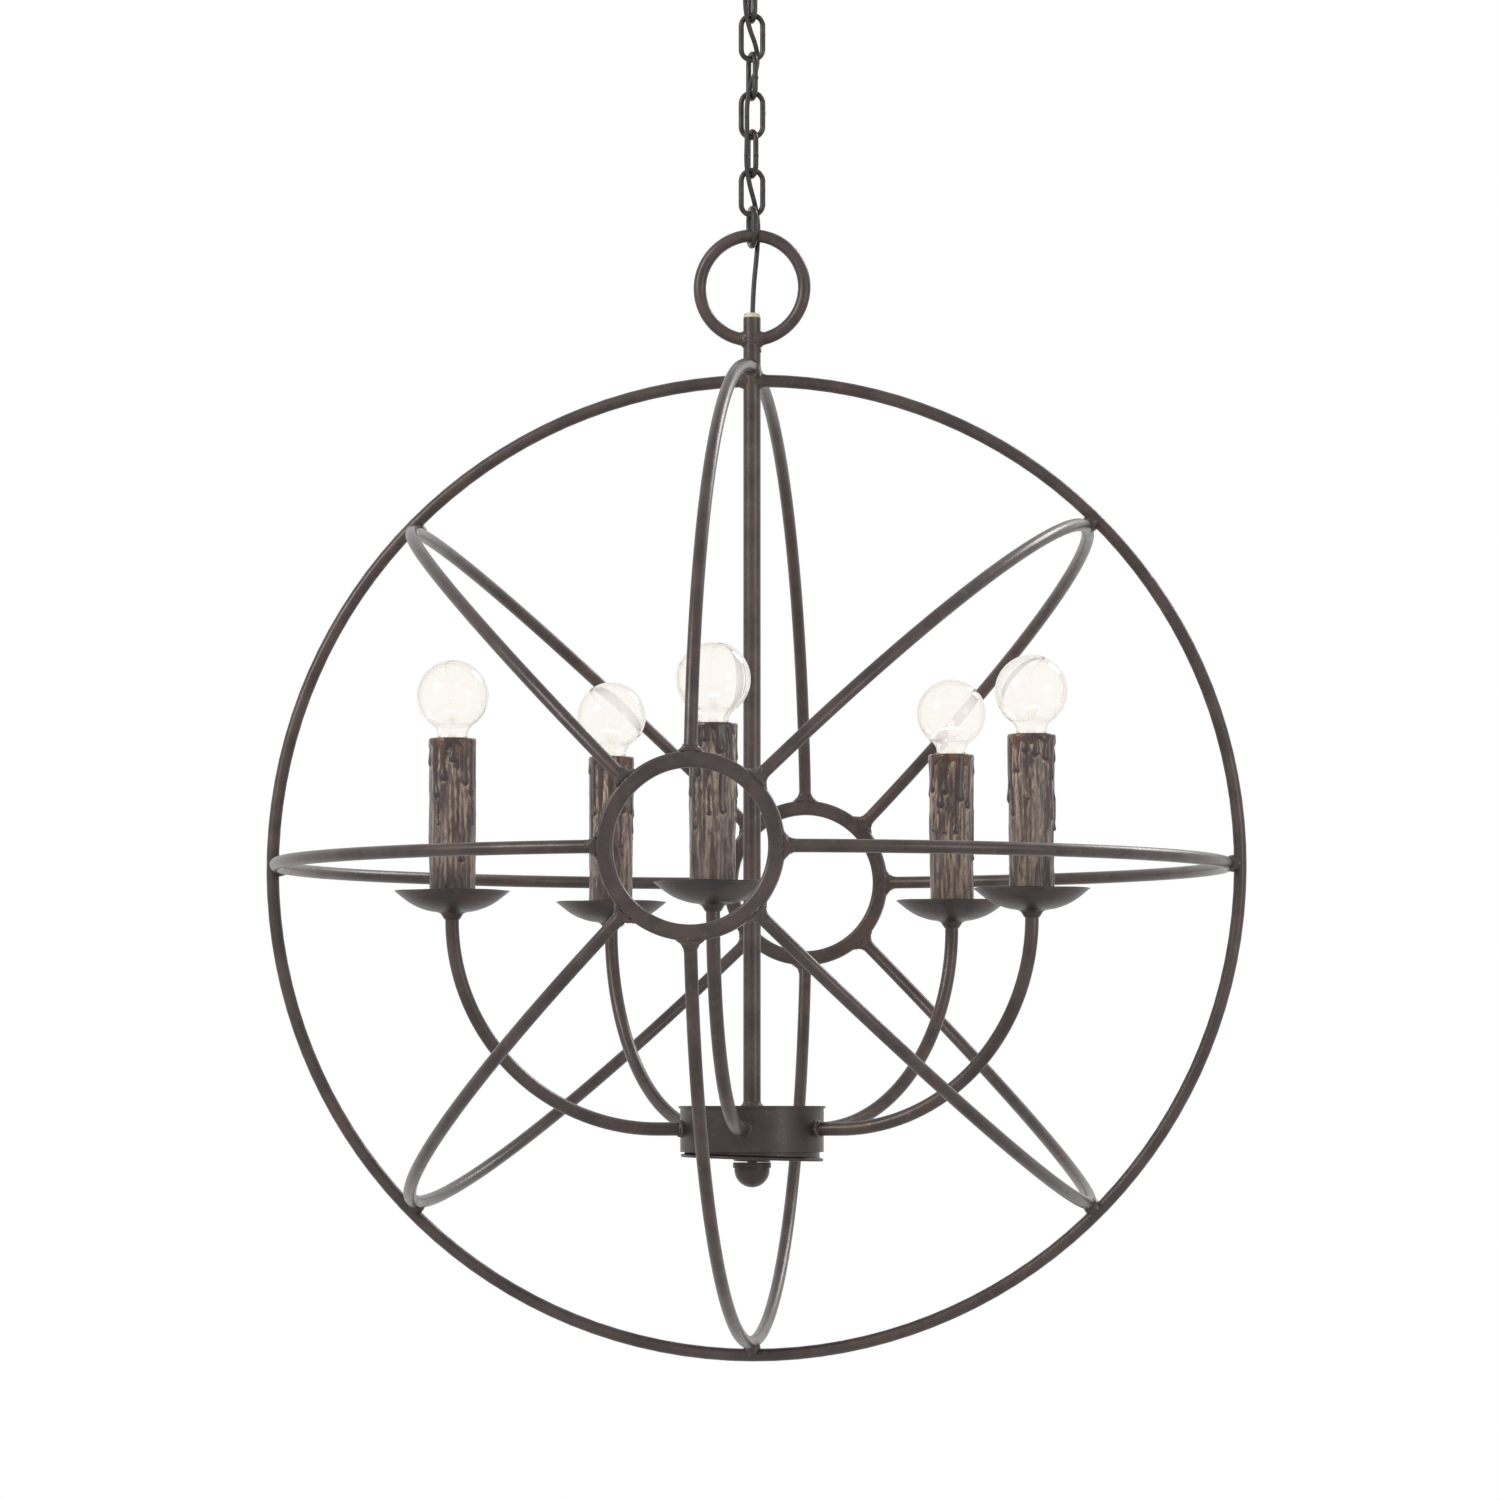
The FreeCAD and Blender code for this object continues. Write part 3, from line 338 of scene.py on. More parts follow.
@dataclass(frozen=True)
class WaxedMetal(Finish):
    """Dark steel, browned and waxed by hand, with rust-red blotches and rubbed places."""

    base: Colour = shade(78, 67, 64)
    deep: Colour = shade(62, 53, 51)
    rust: Colour = shade(92, 64, 52)
    rubbed: Colour = shade(122, 112, 109)
    metallic: float = 0.55
    rough: float = 0.36
    rust_share: float = 0.32
    rub_share: float = 0.22
    blotch: float = 26 * MM
    dent: float = 0.35 * MM

    def surface(self, bench: Bench) -> Sock:
        """The finish's shader."""
        blotches = bench.noise(self.blotch, 4, 0.6)
        grain = bench.noise(1.6 * MM, 3, 0.65)
        patches = bench.noise(38 * MM, 3, 0.55, twist=0.6).step(0.50, 0.68) * blotches.step(0.38, 0.62)
        scuffs = bench.noise(5.5 * MM, 5, 0.72, twist=0.4).step(0.56, 0.74)
        colour = bench.mixed(blotches.step(0.34, 0.64), self.deep, self.base)
        colour = bench.mixed(patches * self.rust_share, colour, self.rust)
        colour = bench.mixed(scuffs * self.rub_share, colour, self.rubbed)
        rough = self.rough + (grain - 0.5) * 0.22 + patches * 0.12 - scuffs * 0.05
        hammered = bench.bump(bench.noise(9 * MM, 2, 0.5), self.dent, 0.55)
        normal = bench.bump(grain, 0.10 * MM, 0.45, hammered)
        return bench.principled(Base_Color=colour, Metallic=self.metallic, Roughness=rough.held(), Normal=normal,
                                Coat_Weight=scuffs * 0.15 + 0.15, Coat_Roughness=0.24)


@dataclass(frozen=True)
class CandleWax(Finish):
    """Moulded wax: glossy dark runs over a ground that is dry-brushed in tan along its grain, with an orange-brown
    tint painted near the top as the bulb's light on it.
    """

    deep: Colour = shade(58, 44, 41)
    body: Colour = shade(92, 74, 67)
    run: Colour = shade(56, 39, 36)
    # painted light: the orange-brown colour of the bulb's light on the sleeve's top
    painted_bulb_glow: Colour = shade(112, 78, 50)
    brushed: Colour = shade(190, 171, 152)

    def surface(self, bench: Bench) -> Sock:
        """The finish's shader."""
        crest, run, rise = bench.attribute("crest"), bench.attribute("run"), bench.attribute("rise")
        strokes = bench.noise(2.6 * MM, 2, 0.55, bench.place((1.0, 1.0, 0.09)))
        fine = bench.noise(0.9 * MM, 3, 0.6, bench.place((1.0, 1.0, 0.12)))
        broken = bench.noise(2.2 * MM, 4, 0.75, bench.place((1.0, 1.0, 0.35)))
        mottle = bench.noise(8 * MM, 3, 0.55, bench.place((1.0, 1.0, 0.4)))
        ground = (1 - run) * (0.45 + 0.55 * rise)
        brush = (strokes * 2.0 + fine * 0.6 + crest * 0.7 + mottle * 0.7 - 1.62).step(0.12, 0.66) * ground
        edge = bench.attribute("halo").step(0.15, 1.0) * broken.step(0.42, 0.60) * mottle.step(0.30, 0.55)
        colour = bench.mixed(mottle.step(0.35, 0.65), self.deep, self.body)
        colour = bench.mixed(run, colour, self.run)
        # Painted light: an orange-brown tint in the top of the sleeve, standing in for the bulb's light falling on it.
        glow = mottle.step(0.45, 0.62) * rise.step(0.82, 1.0)
        colour = bench.mixed(glow * 0.7, colour, self.painted_bulb_glow)
        light = (brush * broken.step(0.26, 0.58) + edge * (0.45 + 0.6 * rise)).held()
        colour = bench.mixed(light * 0.85, colour, self.brushed)
        rough = 0.34 + light * 0.26 + (broken - 0.5) * 0.22 - run * 0.06
        normal = bench.bump(fine, 0.18 * MM, 0.6)
        return bench.principled(Base_Color=colour, Roughness=rough.held(), Normal=normal, IOR=1.44,
                                Coat_Weight=0.35 * (1 - light), Coat_Roughness=0.2)


@dataclass(frozen=True)
class LitGlass(Finish):
    """Thin clear glass round a burning filament: the middle is filled with its light, the edge stays clear of it and
    is tinted darker and browner, a painted shade along the glass's outline.
    """

    tint: Colour = (0.99, 0.982, 0.968, 1.0)
    # painted shade: the darker, browner tint of the glass where it is seen edge-on
    rim: Colour = (0.72, 0.65, 0.57, 1.0)
    light: Colour = shade(253, 249, 242)
    fill: float = 0.36  # the light's share at each wall, seen square on
    clear_from: float = 0.90  # where the light begins to thin out, by the cosine
    clear_at: float = 0.45  # where none of it is left

    def surface(self, bench: Bench) -> Sock:
        """The finish's shader."""
        facing = 1 - bench.node("ShaderNodeLayerWeight", None, {"Blend": 0.5})["Facing"]
        waves = bench.noise(14 * MM, 1, 0.4)
        # Painted shade: the glass is tinted darker towards its outline, by the angle at which it is seen.
        tint = bench.mixed(facing.step(0.0, 0.67), self.rim, self.tint)
        clear = bench.principled(Base_Color=tint, Roughness=0.0, IOR=1.45, Transmission_Weight=1.0,
                                 Normal=bench.bump(waves, 0.05 * MM, 0.12))
        share = facing.step(self.clear_at, self.clear_from) * self.fill
        return bench.blended(share, clear, bench.glow(self.light))


@dataclass(frozen=True)
class Glowing(Finish):
    """A filament at full heat; the same emission also paints an orange glow on the lead wires, which are no lamp."""

    light: Colour = (1.0, 0.78, 0.42, 1.0)
    strength: float = 7.0

    def surface(self, bench: Bench) -> Sock:
        """The finish's shader."""
        hot = bench.noise(1.2 * MM, 2).step(0.3, 0.7)
        colour = bench.mixed(hot, self.light, (1.0, 0.93, 0.74, 1.0))
        return bench.principled(Base_Color=(0.02, 0.02, 0.02, 1), Roughness=0.5, Emission_Color=colour,
                                Emission_Strength=self.strength)


@dataclass(frozen=True)
class PlainMetal(Finish):
    """Bright metal with fine rolling lines and finger marks."""

    base: Colour = shade(176, 176, 174)
    dull: Colour = shade(132, 131, 128)
    rough: float = 0.34
    metallic: float = 0.95
    grain: tuple[float, float, float] = (1.0, 0.12, 1.0)

    def surface(self, bench: Bench) -> Sock:
        """The finish's shader."""
        lines = bench.noise(0.6 * MM, 3, 0.6, bench.place(self.grain))
        marks = bench.noise(7 * MM, 4, 0.6, twist=0.5)
        colour = bench.mixed(marks.step(0.38, 0.66), self.base, self.dull)
        rough = self.rough + (lines - 0.5) * 0.25 + marks.step(0.45, 0.7) * 0.14
        return bench.principled(Base_Color=colour, Metallic=self.metallic, Roughness=rough.held(),
                                Normal=bench.bump(lines, 0.04 * MM, 0.5))


@dataclass(frozen=True)
class Moulded(Finish):
    """Moulded plastic, ceramic or rubber, with a faint cloudiness and a fine skin."""

    base: Colour = shade(226, 217, 198)
    cloud: Colour = shade(206, 192, 166)
    rough: float = 0.42
    skin: float = 0.05 * MM
    gloss: float = 0.0
    soft: float = 0.0

    def surface(self, bench: Bench) -> Sock:
        """The finish's shader."""
        clouds = bench.noise(6 * MM, 3, 0.6)
        fine = bench.noise(0.5 * MM, 3, 0.6)
        colour = bench.mixed(clouds.step(0.35, 0.7), self.base, self.cloud)
        rough = self.rough + (fine - 0.5) * 0.16 + (clouds - 0.5) * 0.12
        return bench.principled(Base_Color=colour, Roughness=rough.held(), Coat_Weight=self.gloss * (0.6 + fine * 0.4),
                                Coat_Roughness=0.15, Subsurface_Weight=self.soft, Subsurface_Scale=0.002,
                                Normal=bench.bump(fine, self.skin, 0.6))


@dataclass(frozen=True)
class FloorPaint(Finish):
    """A pale floor, most of it lost in the white, so that only its shadow is left."""

    paint: Colour = (0.82, 0.82, 0.82, 1.0)
    white: Colour = (1.0, 1.0, 1.0, 1.0)
    white_share: float = 0.6

    def surface(self, bench: Bench) -> Sock:
        """The finish's shader."""
        paint = bench.principled(Base_Color=self.paint, Roughness=0.8)
        return bench.blended(bench.seen() * self.white_share, paint, bench.glow(self.white))


class Stock(Enum):
    """The finishes that this light is made in, and the floor's."""

    CAGE = WaxedMetal("waxed_bronze")
    WELD = WaxedMetal("waxed_weld", base=shade(80, 69, 66), deep=shade(60, 51, 49), rub_share=0.4, blotch=7 * MM)
    CHAIN = WaxedMetal("waxed_chain", base=shade(64, 58, 56), deep=shade(48, 43, 42), rubbed=shade(118, 112, 108),
                       rust_share=0.2, rub_share=0.4, blotch=9 * MM, rough=0.32, metallic=0.65)
    CUP = WaxedMetal("waxed_cup", base=shade(62, 50, 48), deep=shade(48, 39, 38), rust_share=0.3, rub_share=0.14,
                     blotch=18 * MM, dent=0.25 * MM, rough=0.42)
    DRUM = WaxedMetal("waxed_drum", base=shade(64, 53, 52), deep=shade(49, 40, 40), rust_share=0.25,
                      rub_share=0.16, blotch=26 * MM, dent=0.3 * MM, rough=0.40)
    WAX = CandleWax("brushed_wax")
    GLASS = LitGlass("lit_glass")
    FILAMENT = Glowing("hot_filament")
    # painted light: the lead wires are no lamp, and this glow stands in for the filament's light on them
    LEADS_PAINTED_GLOW = Glowing("leads_painted_glow", light=(0.9, 0.55, 0.3, 1.0), strength=0.6)
    CAP = PlainMetal("cap_metal", base=shade(190, 178, 150), dull=shade(150, 138, 112), grain=(1.0, 1.0, 0.2))
    ZINC = PlainMetal("zinc_plate", base=shade(178, 180, 182), dull=shade(136, 139, 142))
    HOLDER = Moulded("black_phenolic", base=shade(34, 31, 30), cloud=shade(48, 44, 42), rough=0.38, gloss=0.2)
    BUSH = Moulded("cream_nylon", base=shade(232, 222, 203), cloud=shade(205, 188, 160), rough=0.38, soft=0.12)
    BLOCK = Moulded("natural_nylon", base=shade(228, 226, 218), cloud=shade(210, 207, 196), rough=0.35, soft=0.1)
    LEAD = Moulded("lead_sleeve", base=shade(46, 46, 47), cloud=shade(60, 58, 57), rough=0.5)
    FLEX = Moulded("black_flex", base=shade(33, 32, 33), cloud=shade(46, 44, 44), rough=0.46, skin=0.08 * MM,
                   gloss=0.1)
    FLOOR = FloorPaint("pale_floor")

    @property
    def material(self) -> bpy.types.Material:
        """The finish's material."""
        return self.value.material()


def dress(frame: dict[str, Any], stock: Stock, *names: str) -> None:
    """Gives CAD nodes a finish.

    Args:
        frame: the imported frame.
        stock: the finish.
        names: the nodes.
    """
    for name in names:
        for slot in frame["nodes"][name].material_slots:
            slot.material = stock.material
        LOG.info("%s: %s", name, stock.value.name)


def fitted(piece: bpy.types.Object, body: str, stands_for: str = "") -> None:
    """Puts a new piece on the body that it moves with.

    Args:
        piece: the piece.
        body: the body.
        stands_for: the CAD node that the piece replaces, if there is one.
    """
    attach(piece, body)
    if stands_for:
        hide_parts(stands_for)
    LOG.info("%s: %d faces", piece.name, len(piece.data.polygons))


def mesh_piece(name: str, points: Sequence[Sequence[float]], faces: Sequence[Sequence[int]],
               stock: Optional[Stock] = None, edges: Sequence[Sequence[int]] = ()) -> bpy.types.Object:
    """A new object from points and faces in the row frame.

    Args:
        name: its name.
        points: where its points are, in metres.
        faces: their numbers, face by face.
        stock: its finish.
        edges: loose edges, for a guide line.

    Returns:
        The object.
    """
    mesh = bpy.data.meshes.new(name)
    mesh.from_pydata([tuple(p) for p in points], list(edges), [tuple(f) for f in faces])
    mesh.shade_smooth()
    if stock is not None:
        mesh.materials.append(stock.material)
    piece = bpy.data.objects.new(name, mesh)
    bpy.context.scene.collection.objects.link(piece)
    return piece


def guide(name: str, lines: Sequence[Sequence[Vector]], closed: bool = True) -> bpy.types.Object:
    """Guide lines for a node tree.

    Args:
        name: the object's name.
        lines: each line's points.
        closed: whether each line ends where it starts.

    Returns:
        An object of loose edges.
    """
    points: list[Vector] = []
    edges: list[tuple[int, int]] = []
    for line in lines:
        first, count = len(points), len(line)
        points += line
        edges += [(first + n, first + (n + 1) % count) for n in range(count if closed else count - 1)]
    return mesh_piece(name, points, [], None, edges)


class Recipe:
    """A geometry node tree with named inputs, run on a guide and turned into a plain mesh."""

    def __init__(self, name: str) -> None:
        """Starts an empty tree."""
        self.tree = bpy.data.node_groups.new(name, "GeometryNodeTree")
        self.bench = Bench(self.tree)
        self.sockets: dict[str, str] = {}
        self.start = self.bench.node("NodeGroupInput")
        self.size("Geometry", "NodeSocketGeometry")

    def size(self, name: str, kind: str = "NodeSocketFloat", value: Any = None) -> Sock:
        """Adds a named input.

        Args:
            name: its name.
            kind: its socket type.
            value: what it is unless it is set.

        Returns:
            Its socket inside the tree.
        """
        socket = self.tree.interface.new_socket(name, in_out="INPUT", socket_type=kind)
        if value is not None:
            socket.default_value = value
        self.sockets[name] = socket.identifier
        return self.start[name]

    def end(self, geometry: Sock) -> None:
        """Smooths and realises what the tree has made, and gives it its finish.

        Args:
            geometry: the tree's result.
        """
        finish = self.size("Finish", "NodeSocketMaterial")
        self.tree.interface.new_socket("Geometry", in_out="OUTPUT", socket_type="NodeSocketGeometry")
        smooth = self.bench.node("GeometryNodeSetShadeSmooth", None, {"Geometry": geometry})[0]
        real = self.bench.node("GeometryNodeRealizeInstances", None, {0: smooth})[0]
        dressed = self.bench.node("GeometryNodeSetMaterial", None, {"Geometry": real, "Material": finish})[0]
        self.bench.node("NodeGroupOutput", None, {0: dressed})

    def run(self, host: bpy.types.Object, stock: Stock, **sizes: Any) -> bpy.types.Object:
        """Runs the tree once.

        Args:
            host: the object of guide lines, which becomes the piece.
            stock: the piece's finish.
            sizes: the tree's inputs, by name with underscores for spaces.

        Returns:
            The piece, as a plain mesh.
        """
        modifier = host.modifiers.new(self.tree.name, "NODES")
        modifier.node_group = self.tree
        modifier[self.sockets["Finish"]] = stock.material
        for name, value in sizes.items():
            modifier[self.sockets[name.replace("_", " ")]] = value
        graph = bpy.context.evaluated_depsgraph_get()
        mesh = bpy.data.meshes.new_from_object(host.evaluated_get(graph))
        host.modifiers.remove(modifier)
        old, host.data = host.data, mesh
        mesh.name = host.name
        bpy.data.meshes.remove(old)
        return host


@lru_cache(maxsize=None)
def lump_recipe() -> Recipe:
    """Weld metal: lumps strewn along a line and melted together.

    Returns:
        The recipe.
    """
    recipe = Recipe("weld_lumps")
    bench = recipe.bench
    spacing = recipe.size("Spacing", value=1.4 * MM)
    lump = recipe.size("Lump", value=1.2 * MM)
    spread = recipe.size("Spread", value=0.5 * MM)
    voxel = recipe.size("Voxel", value=0.4 * MM)
    seed = recipe.size("Seed", "NodeSocketInt", 1)
    line = bench.node("GeometryNodeMeshToCurve", None, {0: recipe.start["Geometry"]})[0]
    dots = bench.node("GeometryNodeResampleCurve", {"mode": "LENGTH"}, {"Curve": line, "Length": spacing})[0]
    shake = bench.node("FunctionNodeRandomValue", {"data_type": "FLOAT_VECTOR"},
                       {0: (-1.0, -1.0, -1.0), 1: (1.0, 1.0, 1.0), "Seed": seed})[0]
    offset = bench.vector("SCALE", {0: shake, "Scale": spread})
    dots = bench.node("GeometryNodeSetPosition", None, {"Geometry": dots, "Offset": offset})[0]
    ball = bench.node("GeometryNodeMeshIcoSphere", None, {"Radius": lump, "Subdivisions": 2})[0]
    squash = bench.node("FunctionNodeRandomValue", {"data_type": "FLOAT_VECTOR"},
                        {0: (0.6, 0.6, 0.6), 1: (1.25, 1.25, 1.25), "Seed": seed + 7})[0]
    strewn = bench.node("GeometryNodeInstanceOnPoints", None, {"Points": dots, "Instance": ball, "Scale": squash})[0]
    solid = bench.node("GeometryNodeRealizeInstances", None, {0: strewn})[0]
    cloud = bench.node("GeometryNodeMeshToVolume", {"resolution_mode": "VOXEL_SIZE"},
                       {"Mesh": solid, "Voxel Size": voxel, "Interior Band Width": lump})[0]
    skin = bench.node("GeometryNodeVolumeToMesh", {"resolution_mode": "VOXEL_SIZE"},
                      {"Volume": cloud, "Voxel Size": voxel, "Threshold": 0.1})[0]
    recipe.end(skin)
    return recipe


@lru_cache(maxsize=None)
def thread_recipe() -> Recipe:
    """A rolled screw thread: a ridge wound round an upright shank.

    Returns:
        The recipe.
    """
    recipe = Recipe("rolled_thread")
    bench = recipe.bench
    radius = recipe.size("Radius", value=6.6 * MM)
    pitch = recipe.size("Pitch", value=2.8 * MM)
    length = recipe.size("Length", value=14 * MM)
    ridge = recipe.size("Ridge", value=0.75 * MM)
    steps = recipe.size("Steps", "NodeSocketInt", 40)
    place = recipe.size("Place", "NodeSocketVector", (0.0, 0.0, 0.0))
    helix = bench.node("GeometryNodeCurveSpiral", None,
                       {"Resolution": steps, "Rotations": length / pitch, "Start Radius": radius,
                        "End Radius": radius, "Height": length})[0]
    rim = bench.node("GeometryNodeCurvePrimitiveCircle", None, {"Resolution": 10, "Radius": ridge})[0]
    wound = bench.node("GeometryNodeCurveToMesh", None,
                       {"Curve": helix, "Profile Curve": rim, "Fill Caps": True})[0]
    recipe.end(bench.node("GeometryNodeTransform", None, {"Geometry": wound, "Translation": place})[0])
    return recipe


@lru_cache(maxsize=None)
def coil_recipe() -> Recipe:
    """Fine wire wound into a coil along a line.

    Returns:
        The recipe.
    """
    recipe = Recipe("wound_coil")
    bench = recipe.bench
    turns = recipe.size("Turns", value=24.0)
    radius = recipe.size("Radius", value=0.5 * MM)
    wire = recipe.size("Wire", value=0.12 * MM)
    count = recipe.size("Points", "NodeSocketInt", 400)
    line = bench.node("GeometryNodeMeshToCurve", None, {0: recipe.start["Geometry"]})[0]
    dots = bench.node("GeometryNodeResampleCurve", {"mode": "COUNT"}, {"Curve": line, "Count": count})[0]
    angle = bench.node("GeometryNodeSplineParameter")["Factor"] * turns * (2 * math.pi)
    normal = bench.node("GeometryNodeInputNormal")[0]
    tangent = bench.node("GeometryNodeInputTangent")[0]
    side = bench.vector("CROSS_PRODUCT", {0: tangent, 1: normal})
    out = bench.vector("SCALE", {0: normal, "Scale": angle.math("COSINE", angle) * radius})
    over = bench.vector("SCALE", {0: side, "Scale": angle.math("SINE", angle) * radius})
    offset = bench.vector("ADD", {0: out, 1: over})
    wound = bench.node("GeometryNodeSetPosition", None, {"Geometry": dots, "Offset": offset})[0]
    rim = bench.node("GeometryNodeCurvePrimitiveCircle", None, {"Resolution": 6, "Radius": wire})[0]
    recipe.end(bench.node("GeometryNodeCurveToMesh", None,
                          {"Curve": wound, "Profile Curve": rim, "Fill Caps": True})[0])
    return recipe


@dataclass(frozen=True)
class Bead:
    """How weld metal is laid along a line, in metres."""

    spacing: float
    lump: float
    spread: float
    voxel: float = 0.38 * MM

    def lay(self, name: str, lines: Sequence[Sequence[Vector]], seed: int, stock: Stock = Stock.WELD,
            closed: bool = True) -> bpy.types.Object:
        """One piece of weld metal.

        Args:
            name: the piece's name.
            lines: the lines that it follows.
            seed: which random lumps.
            stock: its finish.
            closed: whether each line ends where it starts.

        Returns:
            The piece.
        """
        return lump_recipe().run(guide(name, lines, closed), stock, Spacing=self.spacing, Lump=self.lump,
                                 Spread=self.spread, Seed=seed, Voxel=self.voxel)


def threaded(name: str, stock: Stock, place: Vector, **sizes: Any) -> bpy.types.Object:
    """A screw thread that winds up from a place.

    Args:
        name: the piece's name.
        stock: its finish.
        place: the axis, at the thread's foot.
        sizes: the thread recipe's inputs.

    Returns:
        The piece.
    """
    return thread_recipe().run(guide(name, [[place, place + UP * MM]], False), stock, Place=place, **sizes)


def loop(centre: Vector, across: Vector, up: Vector, half_width: float, half_height: float,
         count: int = 24, start: float = 0.0, sweep: float = 360.0, square: float = 1.0) -> list[Vector]:
    """Points round an ellipse.

    Args:
        centre: its middle.
        across: the direction of its width.
        up: the direction of its height.
        half_width: half its width.
        half_height: half its height.
        count: how many points.
        start: degrees from across, towards up, where it starts.
        sweep: degrees that it goes round.
        square: 1 for an ellipse, less for one with fuller corners.

    Returns:
        The points in order.
    """
    def fuller(part: float) -> float:
        """A cosine or sine pushed out towards the corners."""
        return math.copysign(abs(part) ** square, part)

    whole = abs(sweep) >= 360.0
    angles = [math.radians(start + sweep * n / (count if whole else count - 1)) for n in range(count)]
    return [centre + across * half_width * fuller(math.cos(a)) + up * half_height * fuller(math.sin(a))
            for a in angles]


def ring_faces(count: int, sides: int) -> list[tuple[int, ...]]:
    """Faces between rings of points, from each ring to the next and from the last to the first.

    Args:
        count: how many rings.
        sides: points in each.

    Returns:
        The faces, ring by ring.
    """
    return [(n * sides + k, n * sides + (k + 1) % sides, (n + 1) % count * sides + (k + 1) % sides,
             (n + 1) % count * sides + k) for n in range(count) for k in range(sides)]


def merged(parts: Sequence[Shape]) -> Shape:
    """Several closed shapes as one.

    Args:
        parts: each one's points and faces.

    Returns:
        All points and faces.
    """
    points: list[Vector] = []
    faces: list[tuple[int, ...]] = []
    for own_points, own_faces in parts:
        faces += [tuple(k + len(points) for k in face) for face in own_faces]
        points += own_points
    return points, faces


def tube(path: Sequence[Vector], radius: float, sides: int) -> Shape:
    """A round tube along a path, closed at both ends.

    Args:
        path: its middle line.
        radius: its radius.
        sides: points round it.

    Returns:
        Its points and faces.
    """
    count = len(path)
    ways = [(path[min(n + 1, count - 1)] - path[max(n - 1, 0)]).normalized() for n in range(count)]
    side = ways[0].orthogonal().normalized()
    points: list[Vector] = []
    for spot, way in zip(path, ways):
        side = (side - way * side.dot(way)).normalized()
        points += loop(spot, side, way.cross(side), radius, radius, sides)
    ends = [tuple(reversed(range(sides))), tuple(range((count - 1) * sides, count * sides))]
    return points, ring_faces(count, sides)[:-sides] + ends


def flowing(line: Sequence[tuple[float, float]], steps: int = 5) -> list[tuple[float, float]]:
    """A closed outline drawn smoothly through its points.

    Args:
        line: (radius, height) points in order; one that is given twice makes a sharp corner.
        steps: points on each stretch.

    Returns:
        The outline.
    """
    made: list[tuple[float, float]] = []
    count = len(line)
    for n in range(count):
        p0, p1, p2, p3 = (np.array(line[(n + k) % count], float) for k in (-1, 0, 1, 2))
        if np.allclose(p1, p2):
            continue
        for k in range(steps):
            s = k / steps
            spot = 0.5 * (2 * p1 + (p2 - p0) * s + (2 * p0 - 5 * p1 + 4 * p2 - p3) * s ** 2
                          + (3 * p1 - p0 - 3 * p2 + p3) * s ** 3)
            made.append((float(spot[0]), float(spot[1])))
    return made


def lathe(line: Sequence[tuple[float, float]], centre: Vector, sides: int,
          place: Callable[[float, float, float], Vector]) -> Shape:
    """A closed outline turned about an upright axis.

    Args:
        line: its (radius, height) points in millimetres, anticlockwise with the axis on the left.
        centre: the axis, at height 0.
        sides: points round it.
        place: moves a point, from its angle, radius and height in millimetres.

    Returns:
        Its points and faces.
    """
    points = [centre + place(2 * math.pi * k / sides, radius, height) * MM
              for radius, height in line for k in range(sides)]
    return points, ring_faces(len(line), sides)


